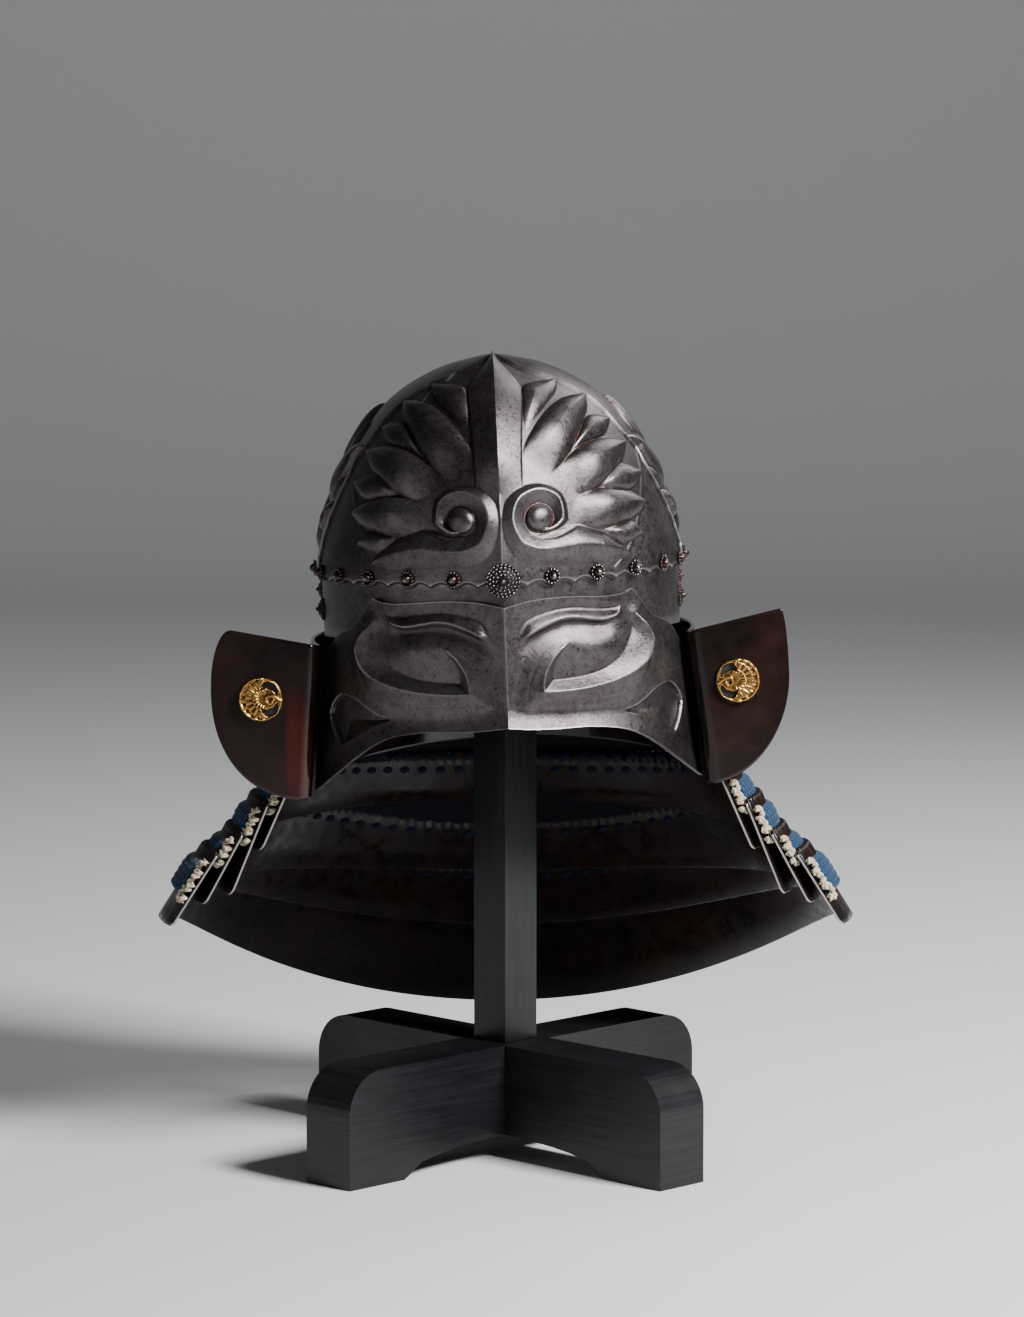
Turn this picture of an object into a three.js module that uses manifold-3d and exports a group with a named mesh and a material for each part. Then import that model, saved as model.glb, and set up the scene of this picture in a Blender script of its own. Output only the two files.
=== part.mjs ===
// Kabuto samurai helmet on a plain wooden cross stand.
// Millimetres, +Z up. The helmet faces -Y. The stand and the helmet are laid out about the stand's post,
// and the whole is then moved so that the origin is on the floor under the middle of its extent.
import * as THREE from 'three';
import { mergeVertices } from 'three/addons/utils/BufferGeometryUtils.js';
import Module from 'manifold-3d';

const wasm = await Module();
wasm.setup();

// ---------------------------------------------------------------- driving dimensions

const GAP = 0.3;
const DEG = Math.PI / 180;

const STAND = {
  boardLength: 266, boardThickness: 33.7, boardHeight: 62.5,
  cornerRadius: 23, footLength: 40, archRise: 13, archFullness: 3,
  postSide: 24.2, restRadius: 42, restHeight: 22, restTop: 428,
};

// The head rest's outline, as shares of its radius and its height.
const REST_OUTLINE = [
  { radius: 0, height: 0 },
  { radius: 0.8, height: 0 },
  { radius: 1, height: 0.25 },
  { radius: 0.92, height: 0.6 },
  { radius: 0.6, height: 0.9 },
  { radius: 0, height: 1 },
];

// the rivet line is the helmet's own zero height
const HELMET = { x: -3, height: 326, leanDegrees: 2.2, turnDegrees: 1, hangShift: 3.5 };

// The front plate meets the side plates in a seam across the crown.
const BOWL = {
  halfWidth: 99.5, rise: 114.6, crownY: -30, frontReach: 78, backReach: 147,
  keel: 0.2, wall: 2.2, skirt: 4,
};

// How the bowl draws in on its way up to the crown, in three directions.
const DRAW_IN = {
  side: { power: 1.4, root: 0.45 },
  front: { power: 2.2, root: 0.56 },
  back: { power: 2, root: 0.4 },
};

const BAND = { wall: 2, sideDepth: 33, rearDepth: 52 };

const VISOR = {
  wall: 2.2, endAngle: 73.5, topWidth: 101, flare: 8.4, frontLean: 2.5,
  top: -12, drop: 105, backY: 117, lipOut: 2.6, lipHeight: -79, lipReach: 12,
};

const RIVET = { positions: 24, height: -0.4, embed: 0.4 };

// Each lame is a strip of a flared wall, from one front end round the back to the other. The wall's
// half-width is given at the strip's two edges at the front ends, and its rear reach at the back.
const LAMES = [
  {
    upW: 101, lowW: 109.5, upRear: 115.5, lowRear: 119,
    upEnd: -38, upBack: -42, lowEnd: -120, lowBack: -112,
  },
  {
    upW: 123.5, lowW: 141.5, upRear: 127.5, lowRear: 134.5,
    upEnd: -112, upBack: -121, lowEnd: -154, lowBack: -150,
  },
  {
    upW: 136.5, lowW: 157, upRear: 144, lowRear: 153,
    upEnd: -126, upBack: -161, lowEnd: -178.5, lowBack: -194,
  },
  {
    upW: 149.5, lowW: 171, upRear: 159, lowRear: 172.5,
    upEnd: -143, upBack: -188, lowEnd: -183.5, lowBack: -229,
  },
  {
    upW: 162.5, lowW: 188.5, upRear: 177.5, lowRear: 197,
    upEnd: -154, upBack: -222, lowEnd: -195.5, lowBack: -279,
  },
];
const LAME = { wall: 2.2, steps: 30, headHeight: 9, bareHem: 17, dropPower: 1.5 };

// The plan of the hanging lames, and that of the first, which spreads at its two ends.
const HANGING_PLAN = { centreY: 10, endY: -35, endSpread: 0 };
const FIRST_PLAN = { centreY: 4.5, endY: -40, endSpread: 6 };
const SPREAD_POWER = 8;

const LACING = { wall: 2, gap: 0.7, tuck: 4, endRoom: 7, steps: 24, firstSpan: 0.88, firstHead: 0.42 };
const EDGE_CORD = { radius: 1.7, inset: 3, reach: 0.42, lastReach: 0.9 };

const TURNBACK = {
  curl: 7, curlDegrees: 95.7, curlShare: 0.3, leftReach: 158, rightReach: 152.5, steps: 10,
  topStart: 98, rootTop: -38, cornerTop: -28, leftCorner: 12, rightCorner: 3.5,
  widest: -62, bottomStart: 106, bottom: -120.5,
};
const CREST = { radius: 12, leftX: 131, rightX: 124.3, height: -65.3, curlX: 100.5 };

// ---------------------------------------------------------------- materials

function finish(color, roughness, metalness) {
  return new THREE.MeshStandardMaterial({ color, roughness, metalness });
}

const MATERIALS = {
  iron: finish(0x3a3335, 0.5, 0.8),
  lacquer: finish(0x1c1211, 0.25, 0),
  lacing: finish(0x17304f, 0.9, 0),
  cord: finish(0xb9ab8a, 0.9, 0),
  gold: finish(0xc39a45, 0.35, 1),
  wood: finish(0x141416, 0.5, 0),
};

// ---------------------------------------------------------------- solids

const lerp = (a, b, t) => a + (b - a) * t;
const mirrorFor = (side) => (side === 'left' ? -1 : 1);

function signedVolume(position, index) {
  const a = new THREE.Vector3();
  const b = new THREE.Vector3();
  const c = new THREE.Vector3();
  let volume = 0;
  for (let i = 0; i < index.length; i += 3) {
    a.fromBufferAttribute(position, index[i]);
    b.fromBufferAttribute(position, index[i + 1]);
    c.fromBufferAttribute(position, index[i + 2]);
    volume += a.dot(b.cross(c)) / 6;
  }
  return volume;
}

// Shared vertices, no collapsed triangles, faces pointing out.
function closeUp(geometry) {
  const bare = geometry.clone();
  bare.deleteAttribute('normal');
  bare.deleteAttribute('uv');
  const merged = mergeVertices(bare, 1e-4);
  const index = [];
  const old = merged.index.array;
  for (let i = 0; i < old.length; i += 3) {
    const [a, b, c] = [old[i], old[i + 1], old[i + 2]];
    if (a !== b && b !== c && c !== a) index.push(a, b, c);
  }
  if (signedVolume(merged.attributes.position, index) < 0) {
    for (let i = 0; i < index.length; i += 3) [index[i], index[i + 1]] = [index[i + 1], index[i]];
  }
  merged.setIndex(index);
  return merged;
}

function toManifold(geometry) {
  const closed = closeUp(geometry);
  return new wasm.Manifold(new wasm.Mesh({
    numProp: 3,
    vertProperties: new Float32Array(closed.attributes.position.array),
    triVerts: new Uint32Array(closed.index.array),
  }));
}

function fromManifold(solid) {
  const mesh = solid.getMesh();
  const geometry = new THREE.BufferGeometry();
  geometry.setAttribute('position', new THREE.BufferAttribute(new Float32Array(mesh.vertProperties), 3));
  geometry.setIndex(new THREE.BufferAttribute(new Uint32Array(mesh.triVerts), 1));
  return geometry;
}

function unite(base, additions) {
  return additions.reduce((sum, piece) => sum.add(toManifold(piece)), toManifold(base));
}

const corner = (x, y, z) => new THREE.Vector3(x, y, z);

function block(low, high) {
  const size = new THREE.Vector3().subVectors(high, low);
  const box = new THREE.BoxGeometry(size.x, size.y, size.z);
  return box.translate((low.x + high.x) / 2, (low.y + high.y) / 2, (low.z + high.z) / 2);
}

// A curved wall. point(u, v, depth) gives a place on it, with u and v from 0 to 1 and depth from
// 0 on one face to `wall` on the other. A ring joins u = 1 to u = 0.
function sheet(point, wall, uSteps, vSteps, ring = false) {
  const columns = ring ? uSteps : uSteps + 1;
  const rows = vSteps + 1;
  const positions = [];
  for (const depth of [0, wall]) {
    for (let i = 0; i < columns; i += 1) {
      for (let j = 0; j < rows; j += 1) positions.push(...point(i / uSteps, j / vSteps, depth).toArray());
    }
  }
  const at = (face, i, j) => face * columns * rows + (i % columns) * rows + j;
  const index = [];
  const quad = (a, b, c, d) => index.push(a, b, c, a, c, d);
  for (let i = 0; i < uSteps; i += 1) {
    for (let j = 0; j < vSteps; j += 1) {
      quad(at(0, i, j), at(0, i + 1, j), at(0, i + 1, j + 1), at(0, i, j + 1));
      quad(at(1, i, j), at(1, i, j + 1), at(1, i + 1, j + 1), at(1, i + 1, j));
    }
    quad(at(0, i, 0), at(1, i, 0), at(1, i + 1, 0), at(0, i + 1, 0));
    quad(at(0, i, vSteps), at(0, i + 1, vSteps), at(1, i + 1, vSteps), at(1, i, vSteps));
  }
  if (!ring) {
    for (let j = 0; j < vSteps; j += 1) {
      quad(at(0, 0, j), at(0, 0, j + 1), at(1, 0, j + 1), at(1, 0, j));
      quad(at(0, uSteps, j), at(1, uSteps, j), at(1, uSteps, j + 1), at(0, uSteps, j + 1));
    }
  }
  const geometry = new THREE.BufferGeometry();
  geometry.setAttribute('position', new THREE.Float32BufferAttribute(positions, 3));
  geometry.setIndex(index);
  return closeUp(geometry);
}

// A raised ridge on a curved wall. place(a, b, lift) puts the wall's own coordinates a, b in space,
// path(t) runs along the ridge, and half(t) and crest(t) are its half-width and its height. Its flanks
// run on into the wall, to `sink` below its face.
function ridge(place, path, half, crest, steps) {
  const sink = 1;
  const nearby = 0.02;
  const sections = [];
  for (let i = 0; i <= steps; i += 1) {
    const t = i / steps;
    const before = path(Math.max(t - nearby, 0));
    const after = path(Math.min(t + nearby, 1));
    const along = new THREE.Vector2(after[0] - before[0], after[1] - before[1]).normalize();
    const [a, b] = path(t);
    const height = crest(t);
    const reach = (half(t) * (height + sink)) / height;
    const spot = (across, lift) => place(a - along.y * across, b + along.x * across, lift);
    sections.push([spot(-reach, -sink), spot(0, height), spot(reach, -sink)]);
  }
  const corners = 3;
  const positions = sections.flat().flatMap((p) => p.toArray());
  const index = [];
  for (let i = 0; i < steps; i += 1) {
    for (let k = 0; k < corners; k += 1) {
      const a = i * corners + k;
      const b = i * corners + ((k + 1) % corners);
      index.push(a, b, b + corners, a, b + corners, a + corners);
    }
  }
  const last = steps * corners;
  index.push(0, 2, 1, last, last + 1, last + 2);
  const geometry = new THREE.BufferGeometry();
  geometry.setAttribute('position', new THREE.Float32BufferAttribute(positions, 3));
  geometry.setIndex(index);
  return closeUp(geometry);
}

// A petal from base to tip: widest a little before its middle, with a small foot and a fine tip.
const PETAL = { skew: 1.15, fullness: 0.75, foot: 0.35, edge: 0.2, rise: 0.5 };

function petal(place, base, tip, width, height, steps = 4) {
  const path = (t) => [lerp(base[0], tip[0], t), lerp(base[1], tip[1], t)];
  const swell = (t) => Math.max(Math.sin(Math.PI * t ** PETAL.skew) ** PETAL.fullness, PETAL.foot * (1 - t));
  const half = (t) => PETAL.edge + (width / 2) * swell(t);
  const crest = (t) => PETAL.rise + height * swell(t);
  return ridge(place, path, half, crest, steps);
}

// ---------------------------------------------------------------- stand

function boardProfile() {
  const { boardLength, boardHeight, cornerRadius, footLength, archRise, archFullness } = STAND;
  const end = boardLength / 2;
  const shape = new THREE.Shape();
  shape.moveTo(-end, 0);
  shape.lineTo(-end + footLength, 0);
  const archHalf = end - footLength;
  const archSteps = 14;
  for (let i = 1; i <= archSteps; i += 1) {
    const x = lerp(-archHalf, archHalf, i / archSteps);
    const rise = archRise * Math.sqrt(Math.max(1 - Math.abs(x / archHalf) ** archFullness, 0));
    shape.lineTo(x, rise);
  }
  shape.lineTo(end, 0);
  shape.lineTo(end, boardHeight - cornerRadius);
  shape.absarc(end - cornerRadius, boardHeight - cornerRadius, cornerRadius, 0, Math.PI / 2, false);
  shape.lineTo(-end + cornerRadius, boardHeight);
  shape.absarc(-end + cornerRadius, boardHeight - cornerRadius, cornerRadius, Math.PI / 2, Math.PI, false);
  return shape;
}

// A board along X, notched at its middle to half its height for the one that crosses it.
function board(notchBelow) {
  const { boardThickness, boardHeight, boardLength } = STAND;
  const solid = new THREE.ExtrudeGeometry(boardProfile(), {
    depth: boardThickness, bevelEnabled: false, curveSegments: 5,
  });
  solid.rotateX(Math.PI / 2).translate(0, boardThickness / 2, 0);
  const half = boardThickness / 2 + GAP;
  const middle = boardHeight / 2;
  const [low, high] = notchBelow ? [-1, middle + GAP / 2] : [middle - GAP / 2, boardHeight + 1];
  const notch = block(corner(-half, -boardLength, low), corner(half, boardLength, high));
  return fromManifold(toManifold(solid).subtract(toManifold(notch)));
}

function headRest() {
  const { restRadius, restHeight } = STAND;
  const outline = REST_OUTLINE.map((at) => new THREE.Vector2(at.radius * restRadius, at.height * restHeight));
  return new THREE.LatheGeometry(outline, 16).rotateX(Math.PI / 2);
}

// ---------------------------------------------------------------- bowl

// Share of the front depth at an angle from the front: an ellipse with a keel at angle 0.
function frontShare(angle) {
  const cosine = Math.cos(angle);
  return cosine - BOWL.keel * Math.abs(Math.sin(angle)) * cosine ** 3;
}

const planShare = (angle) => (Math.abs(angle) <= Math.PI / 2 ? frontShare(angle) : Math.cos(angle));

const drawIn = (rise, { power, root }) => Math.max(1 - rise ** power, 0) ** root;

// level: 0 at the rivet line, 1 at the crown. angle: 0 at the front, +-180 degrees at the back.
function bowlPoint(angle, level, lift = 0) {
  const rise = Math.sin((level * Math.PI) / 2);
  const front = BOWL.crownY - (BOWL.frontReach + lift) * drawIn(rise, DRAW_IN.front);
  const back = BOWL.crownY + (BOWL.backReach + lift) * drawIn(rise, DRAW_IN.back);
  const half = (BOWL.halfWidth + lift) * drawIn(rise, DRAW_IN.side);
  const x = half * Math.sin(angle);
  const y = (front + back) / 2 - ((back - front) / 2) * planShare(angle);
  return new THREE.Vector3(x, y, (BOWL.rise + lift) * rise);
}

const levelAt = (height) => (Math.asin(Math.min(Math.max(height / BOWL.rise, 0), 1)) * 2) / Math.PI;

// A place on the front plate, by its distance from the keel line as seen from the front.
function onFront(x, height, lift) {
  const level = levelAt(height);
  const half = bowlPoint(Math.PI / 2, level).x;
  const angle = Math.asin(Math.min(Math.max(x / half, -1), 1));
  return bowlPoint(angle, level, lift);
}

// A place on a side plate, by its girth in millimetres round from the keel at the rivet line.
const GIRTH_RADIUS = 108;
const onSide = (sign) => (girth, height, lift) => (
  bowlPoint((sign * girth) / GIRTH_RADIUS, levelAt(height), lift)
);

const ROUND_STEPS = 36;

function bowlShell() {
  const up = 8;
  const skirtRow = 1 / (up + 1);
  return sheet((u, v, depth) => {
    const angle = (u * 2 - 1) * Math.PI;
    const level = (v - skirtRow) / (1 - skirtRow);
    const point = bowlPoint(angle, Math.max(level, 0), -depth);
    if (v < skirtRow / 2) point.z = -BOWL.skirt;
    return point;
  }, BOWL.wall, ROUND_STEPS, up + 1, true);
}

// Leaves of the front palmette, right half; base and tip are distances from the keel and heights.
const FRONT_LEAVES = [
  { baseX: 14.5, baseH: 70, tipX: 33, tipH: 101.5, width: 14, height: 3.4 },
  { baseX: 18, baseH: 50, tipX: 48, tipH: 91, width: 20, height: 4.6 },
  { baseX: 41, baseH: 68, tipX: 61, tipH: 78.5, width: 10, height: 2.8 },
  { baseX: 33, baseH: 48, tipX: 69.3, tipH: 67.5, width: 16, height: 4.2 },
  { baseX: 50, baseH: 43, tipX: 76, tipH: 49, width: 11, height: 3 },
  { baseX: 38, baseH: 31.5, tipX: 79, tipH: 33, width: 16, height: 4.2 },
  { baseX: 52, baseH: 20, tipX: 76.5, tipH: 19.5, width: 10, height: 2.8 },
  { baseX: 15, baseH: 12.5, tipX: 70, tipH: 9.5, width: 12, height: 4 },
];

// Leaves of a side palmette: direction from its volute, start and length; 0 points to the front.
const SIDE_LEAVES = [
  { direction: 2, from: 20, length: 62, width: 15, height: 4.4 },
  { direction: 20, from: 36, length: 42, width: 12, height: 3.4 },
  { direction: 37, from: 22, length: 60, width: 18, height: 4.6 },
  { direction: 58, from: 36, length: 40, width: 14, height: 3.4 },
  { direction: 78, from: 22, length: 54, width: 22, height: 4.6 },
  { direction: 101, from: 36, length: 38, width: 16, height: 3.4 },
  { direction: 123, from: 22, length: 58, width: 20, height: 4.6 },
  { direction: 145, from: 36, length: 46, width: 12, height: 3.4 },
  { direction: 170, from: 20, length: 72, width: 15, height: 4.4 },
];
const SIDE_VOLUTE = { girth: 198, height: 26, leafSquash: 0.82 };

// A volute's ribbon winds from its outer end to its inner end, about a boss.
const VOLUTE = {
  startDegrees: -60, sweepDegrees: 325, steps: 11,
  outer: { radius: 15.6, half: 3.2, crest: 3.2 },
  inner: { radius: 10.6, half: 1.2, crest: 2.2 },
};
const BOSS_SIDES = 6;
const BOSS_ROWS = [
  { radius: 0, lift: -1.2 },
  { radius: 7.6, lift: -1.2 },
  { radius: 7.6, lift: 0.6 },
  { radius: 5.4, lift: 3.2 },
  { radius: 0, lift: 4.6 },
];

// turn is +1 or -1 for the way that the ribbon winds.
function volute(place, centre, turn) {
  const { startDegrees, sweepDegrees, steps, outer, inner } = VOLUTE;
  const spiral = (t) => {
    const angle = (startDegrees + sweepDegrees * -t) * DEG;
    const radius = lerp(outer.radius, inner.radius, t);
    return [centre[0] + turn * radius * Math.cos(angle), centre[1] + radius * Math.sin(angle)];
  };
  const half = (t) => lerp(outer.half, inner.half, t);
  const crest = (t) => lerp(outer.crest, inner.crest, t);
  const boss = sheet((u, v) => {
    const row = BOSS_ROWS[Math.round(v * (BOSS_ROWS.length - 1))];
    const angle = u * 2 * Math.PI;
    const across = row.radius * Math.cos(angle);
    return place(centre[0] + across, centre[1] + row.radius * Math.sin(angle), row.lift);
  }, 0, BOSS_SIDES, BOSS_ROWS.length - 1, true);
  return [ridge(place, spiral, half, crest, steps), boss];
}

const FRONT_VOLUTE = { x: 20.4, height: 30.3 };

// The tall blade up the keel line: quickly full below its tip, then tapering down between the volutes.
const LANCE = { tip: 111.5, foot: 20, half: 15.6, crest: 2.6, tipShare: 0.45, taper: 0.75, steps: 7 };

function lance() {
  const path = (t) => [0, lerp(LANCE.tip, LANCE.foot, t)];
  const half = (t) => {
    const opened = Math.sin((Math.PI / 2) * Math.min(t / LANCE.tipShare, 1));
    return 0.3 + LANCE.half * opened * (1 - LANCE.taper * Math.max(t - 0.25, 0) ** 0.8);
  };
  const crest = (t) => PETAL.rise + LANCE.crest * Math.sin(Math.PI * t ** 0.6);
  return ridge(onFront, path, half, crest, LANCE.steps);
}

function frontRelief() {
  const pieces = [lance()];
  for (const sign of [-1, 1]) {
    for (const leaf of FRONT_LEAVES) {
      const base = [sign * leaf.baseX, leaf.baseH];
      const tip = [sign * leaf.tipX, leaf.tipH];
      pieces.push(petal(onFront, base, tip, leaf.width, leaf.height));
    }
    pieces.push(...volute(onFront, [sign * FRONT_VOLUTE.x, FRONT_VOLUTE.height], sign));
  }
  return pieces;
}

function sideRelief(sign) {
  const place = onSide(sign);
  const { girth, height, leafSquash } = SIDE_VOLUTE;
  const leaves = SIDE_LEAVES.map((leaf) => {
    const angle = leaf.direction * DEG;
    const along = [-Math.cos(angle), Math.sin(angle) * leafSquash];
    const base = [girth + along[0] * leaf.from, height + along[1] * leaf.from];
    const end = leaf.from + leaf.length;
    const tip = [girth + along[0] * end, height + along[1] * end];
    return petal(place, base, tip, leaf.width, leaf.height);
  });
  return [...leaves, ...volute(place, [girth, height], 1)];
}

const FAR = 400;

// The front plate meets the side plates at a plane through the crown's place, which leans forward.
const SEAM_LEAN = 5.7 * DEG;

function bowlPlate(low, high, relief) {
  const keep = block(low, high).rotateX(SEAM_LEAN).translate(0, BOWL.crownY, 0);
  return fromManifold(unite(bowlShell(), relief).intersect(toManifold(keep)));
}

const frontPlate = () => bowlPlate(corner(-FAR, -FAR, -FAR), corner(FAR, 0, FAR), frontRelief());

function sidePlate(side) {
  const sign = mirrorFor(side);
  const inner = (sign * GAP) / 2;
  const outer = sign * FAR;
  const low = corner(Math.min(inner, outer), GAP, -FAR);
  return bowlPlate(low, corner(Math.max(inner, outer), FAR, FAR), sideRelief(sign));
}

// ---------------------------------------------------------------- brow band and visor

// The wall below the rivet line, at an angle from the front and `lift` outside the band's own face.
function bandPoint(angle, z, lift) {
  const half = BOWL.halfWidth - BOWL.wall - GAP + lift;
  const front = BOWL.crownY - BOWL.frontReach + BOWL.wall + GAP - lift;
  const back = BOWL.crownY + BOWL.backReach - BOWL.wall - GAP + lift;
  const y = (front + back) / 2 - ((back - front) / 2) * planShare(angle);
  return new THREE.Vector3(half * Math.sin(angle), y, z);
}

function browBand() {
  return sheet((u, v, depth) => {
    const angle = (u * 2 - 1) * Math.PI;
    const rear = ((1 - Math.cos(angle)) / 2) ** 2;
    const bottom = -lerp(BAND.sideDepth, BAND.rearDepth, rear);
    return bandPoint(angle, lerp(bottom, 0, v), -depth);
  }, BAND.wall, ROUND_STEPS, 1, true);
}

// The visor's two edges: heights at angles in degrees from the keel.
const VISOR_TOP = [
  { at: 0, height: -15.3 },
  { at: 10, height: -12.2 },
  { at: 24, height: -12.3 },
  { at: 36.5, height: -13.4 },
  { at: 42.7, height: -11.5 },
  { at: 48.3, height: -21.4 },
  { at: 53, height: -27.4 },
  { at: 59.6, height: -31.4 },
  { at: 65.2, height: -39 },
  { at: 68.6, height: -48 },
  { at: 71.2, height: -66 },
  { at: 72.6, height: -90 },
  { at: 73.5, height: -117.3 },
];
const VISOR_BOTTOM = [
  { at: 0, height: -78.6 },
  { at: 25, height: -80.6 },
  { at: 36.5, height: -84 },
  { at: 46.3, height: -91.8 },
  { at: 59.6, height: -105.8 },
  { at: 66, height: -112 },
  { at: 73.5, height: -117.8 },
];

function edgeHeight(table, at) {
  const next = Math.max(table.findIndex((row) => row.at >= at), 1);
  const from = table[next - 1];
  const to = table[next];
  return lerp(from.height, to.height, (at - from.at) / (to.at - from.at));
}

const visorDown = (z) => Math.min(Math.max((VISOR.top - z) / VISOR.drop, 0), 1);
const visorHalf = (z) => VISOR.topWidth + VISOR.flare * visorDown(z) ** 1.5;

// The visor leans forward, and rolls out into a lip near its lower edge.
function visorPoint(angle, z, lift) {
  const lip = VISOR.lipOut * Math.max(1 - Math.abs(z - VISOR.lipHeight) / VISOR.lipReach, 0) ** 2;
  const root = BOWL.crownY - BOWL.frontReach - 2 * GAP;
  const front = root - VISOR.frontLean * visorDown(z) - lip - lift;
  const y = (front + VISOR.backY) / 2 - ((VISOR.backY - front) / 2) * frontShare(angle);
  return new THREE.Vector3((visorHalf(z) + lift) * Math.sin(angle), y, z);
}

const onVisor = (x, z, lift) => visorPoint(Math.asin(x / visorHalf(z)), z, lift);

// Carved folds of the visor, right half: a curved ridge through three places, each a distance and a height.
const VISOR_FOLDS = [
  { from: [5, -32], through: [30, -23], to: [62, -20], half: 4.5, crest: 2.4 },
  { from: [71, -27], through: [69, -52], to: [19, -60.5], half: 6, crest: 3.8 },
  { from: [31.7, -36.4], through: [22.5, -46], to: [18.8, -60.3], half: 4.2, crest: 3.2 },
  { from: [60, -76], through: [80, -64], to: [90, -82], half: 2.6, crest: 2.4 },
];
const FOLD_ENDS = 0.06;
const EYELID = { from: [24, -57], to: [70, -36], width: 27, height: 4.2 };

function visor() {
  const body = sheet((u, v, depth) => {
    const angle = (u * 2 - 1) * VISOR.endAngle;
    const top = edgeHeight(VISOR_TOP, Math.abs(angle));
    const bottom = edgeHeight(VISOR_BOTTOM, Math.abs(angle));
    return visorPoint(angle * DEG, lerp(bottom, top, v), -depth);
  }, VISOR.wall, 26, 3);
  const relief = [];
  for (const sign of [-1, 1]) {
    const flip = ([x, z]) => new THREE.Vector3(sign * x, z, 0);
    for (const fold of VISOR_FOLDS) {
      const bow = new THREE.CatmullRomCurve3([flip(fold.from), flip(fold.through), flip(fold.to)]);
      const path = (t) => [bow.getPoint(t).x, bow.getPoint(t).y];
      const swell = (t) => Math.sin(Math.PI * lerp(FOLD_ENDS, 1 - FOLD_ENDS, t));
      relief.push(ridge(onVisor, path, (t) => fold.half * swell(t), (t) => fold.crest * swell(t), 5));
    }
    const lidFrom = [sign * EYELID.from[0], EYELID.from[1]];
    const lidTo = [sign * EYELID.to[0], EYELID.to[1]];
    relief.push(petal(onVisor, lidFrom, lidTo, EYELID.width, EYELID.height, 5));
  }
  return fromManifold(unite(body, relief));
}

// ---------------------------------------------------------------- rivets, rosettes and roundels

// A turned stud: its profile runs out from the wall, which its axis leaves at right angles.
function stud(profile, sides) {
  return new THREE.LatheGeometry(profile.map(([r, out]) => new THREE.Vector2(r, out)), sides);
}

// Profiles as pairs: radius, then height out from the wall.
const RIVET_PROFILE = [[0, 0], [4.3, 0], [4, 1.3], [2.2, 3], [0, 3.8]];
const ROSETTE_PROFILE = [[0, 0], [8.8, 0], [9, 1.4], [6, 3], [3, 5], [0, 6.4]];
const SIDE_ROSETTE_PROFILE = [[0, 0], [6.4, 0], [6.6, 1.2], [4, 2.6], [0, 5.2]];
const CREST_PROFILE = [[0, 0], [CREST.radius, 0], [CREST.radius, 0.9], [10.8, 1.7], [6, 2.7], [0, 3.1]];

const SIDE_ROSETTES = [
  { place: 'front', degrees: 84, height: -22 },
  { place: 'rear', degrees: 96, height: -13.5 },
];

// Places a stud so that its axis points along `out`, standing clear of the wall at `point`.
function seat(mesh, point, out) {
  mesh.quaternion.setFromUnitVectors(new THREE.Vector3(0, 1, 0), out);
  mesh.position.copy(point).addScaledVector(out, GAP);
  return mesh;
}

// Outward direction of a wall in plan, from two nearby places on it.
function outwardAt(place, angle) {
  const nearby = 0.01;
  const along = place(angle + nearby).sub(place(angle - nearby));
  return new THREE.Vector3(along.y, -along.x, 0).normalize();
}

// ---------------------------------------------------------------- neck guard

// How far an edge has dropped from its height at the ends to its height at the back.
const edgeDrop = (s) => ((1 + Math.cos(Math.PI * s)) / 2) ** LAME.dropPower;
const upperHeight = (lame, s) => lerp(lame.upEnd, lame.upBack, edgeDrop(s));
const lowerHeight = (lame, s) => lerp(lame.lowEnd, lame.lowBack, edgeDrop(s));

// s: -1 at the left front end, 0 at the back, 1 at the right front end.
// v: 0 at the upper edge, 1 at the lower edge.
function lamePoint(lame, s, v, depth, plan = HANGING_PLAN) {
  const z = lerp(upperHeight(lame, s), lowerHeight(lame, s), v);
  const spread = plan.endSpread * Math.abs(s) ** SPREAD_POWER;
  const half = spread + lerp(lame.upW, lame.lowW, (lame.upEnd - z) / (lame.upEnd - lame.lowEnd));
  const reach = lerp(lame.upRear, lame.lowRear, (lame.upBack - z) / (lame.upBack - lame.lowBack));
  const deep = reach - plan.centreY;
  const angle = s * Math.acos((plan.endY - plan.centreY) / deep);
  const y = plan.centreY + (deep + depth) * Math.cos(angle);
  return new THREE.Vector3((half + depth) * Math.sin(angle), y, z);
}

function plainLame(lame) {
  return sheet((u, v, depth) => lamePoint(lame, u * 2 - 1, v, depth), LAME.wall, LAME.steps, 1);
}

// The first lame ends in two turnbacks: each curls outwards and opens into a D-shaped plate.
// progress: 0 at the lame's end, curlShare where the curl ends, 1 at the plate's outer edge.
function turnbackPoint(side, progress, v, depth) {
  const { curl, curlDegrees, curlShare, leftReach, rightReach } = TURNBACK;
  const sign = mirrorFor(side);
  const root = lamePoint(LAMES[0], sign, v, 0, FIRST_PLAN);
  const rootX = Math.abs(root.x);
  const reach = side === 'left' ? leftReach : rightReach;
  const turned = Math.min(progress / curlShare, 1) * curlDegrees * DEG;
  const flat = Math.max((progress - curlShare) / (1 - curlShare), 0);
  const curlEnd = rootX + curl * (1 - Math.cos(turned));
  const length = flat > 0 ? ((reach - curlEnd) / Math.sin(turned)) * Math.sin((flat * Math.PI) / 2) : 0;
  const x = rootX + curl - (curl - depth) * Math.cos(turned) + length * Math.sin(turned);
  const y = root.y - (curl - depth) * Math.sin(turned) - length * Math.cos(turned);
  const face = curlEnd + length * Math.sin(turned);
  return new THREE.Vector3(sign * x, y, lerp(turnbackTop(face, side), turnbackBottom(face, reach), v));
}

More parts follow.
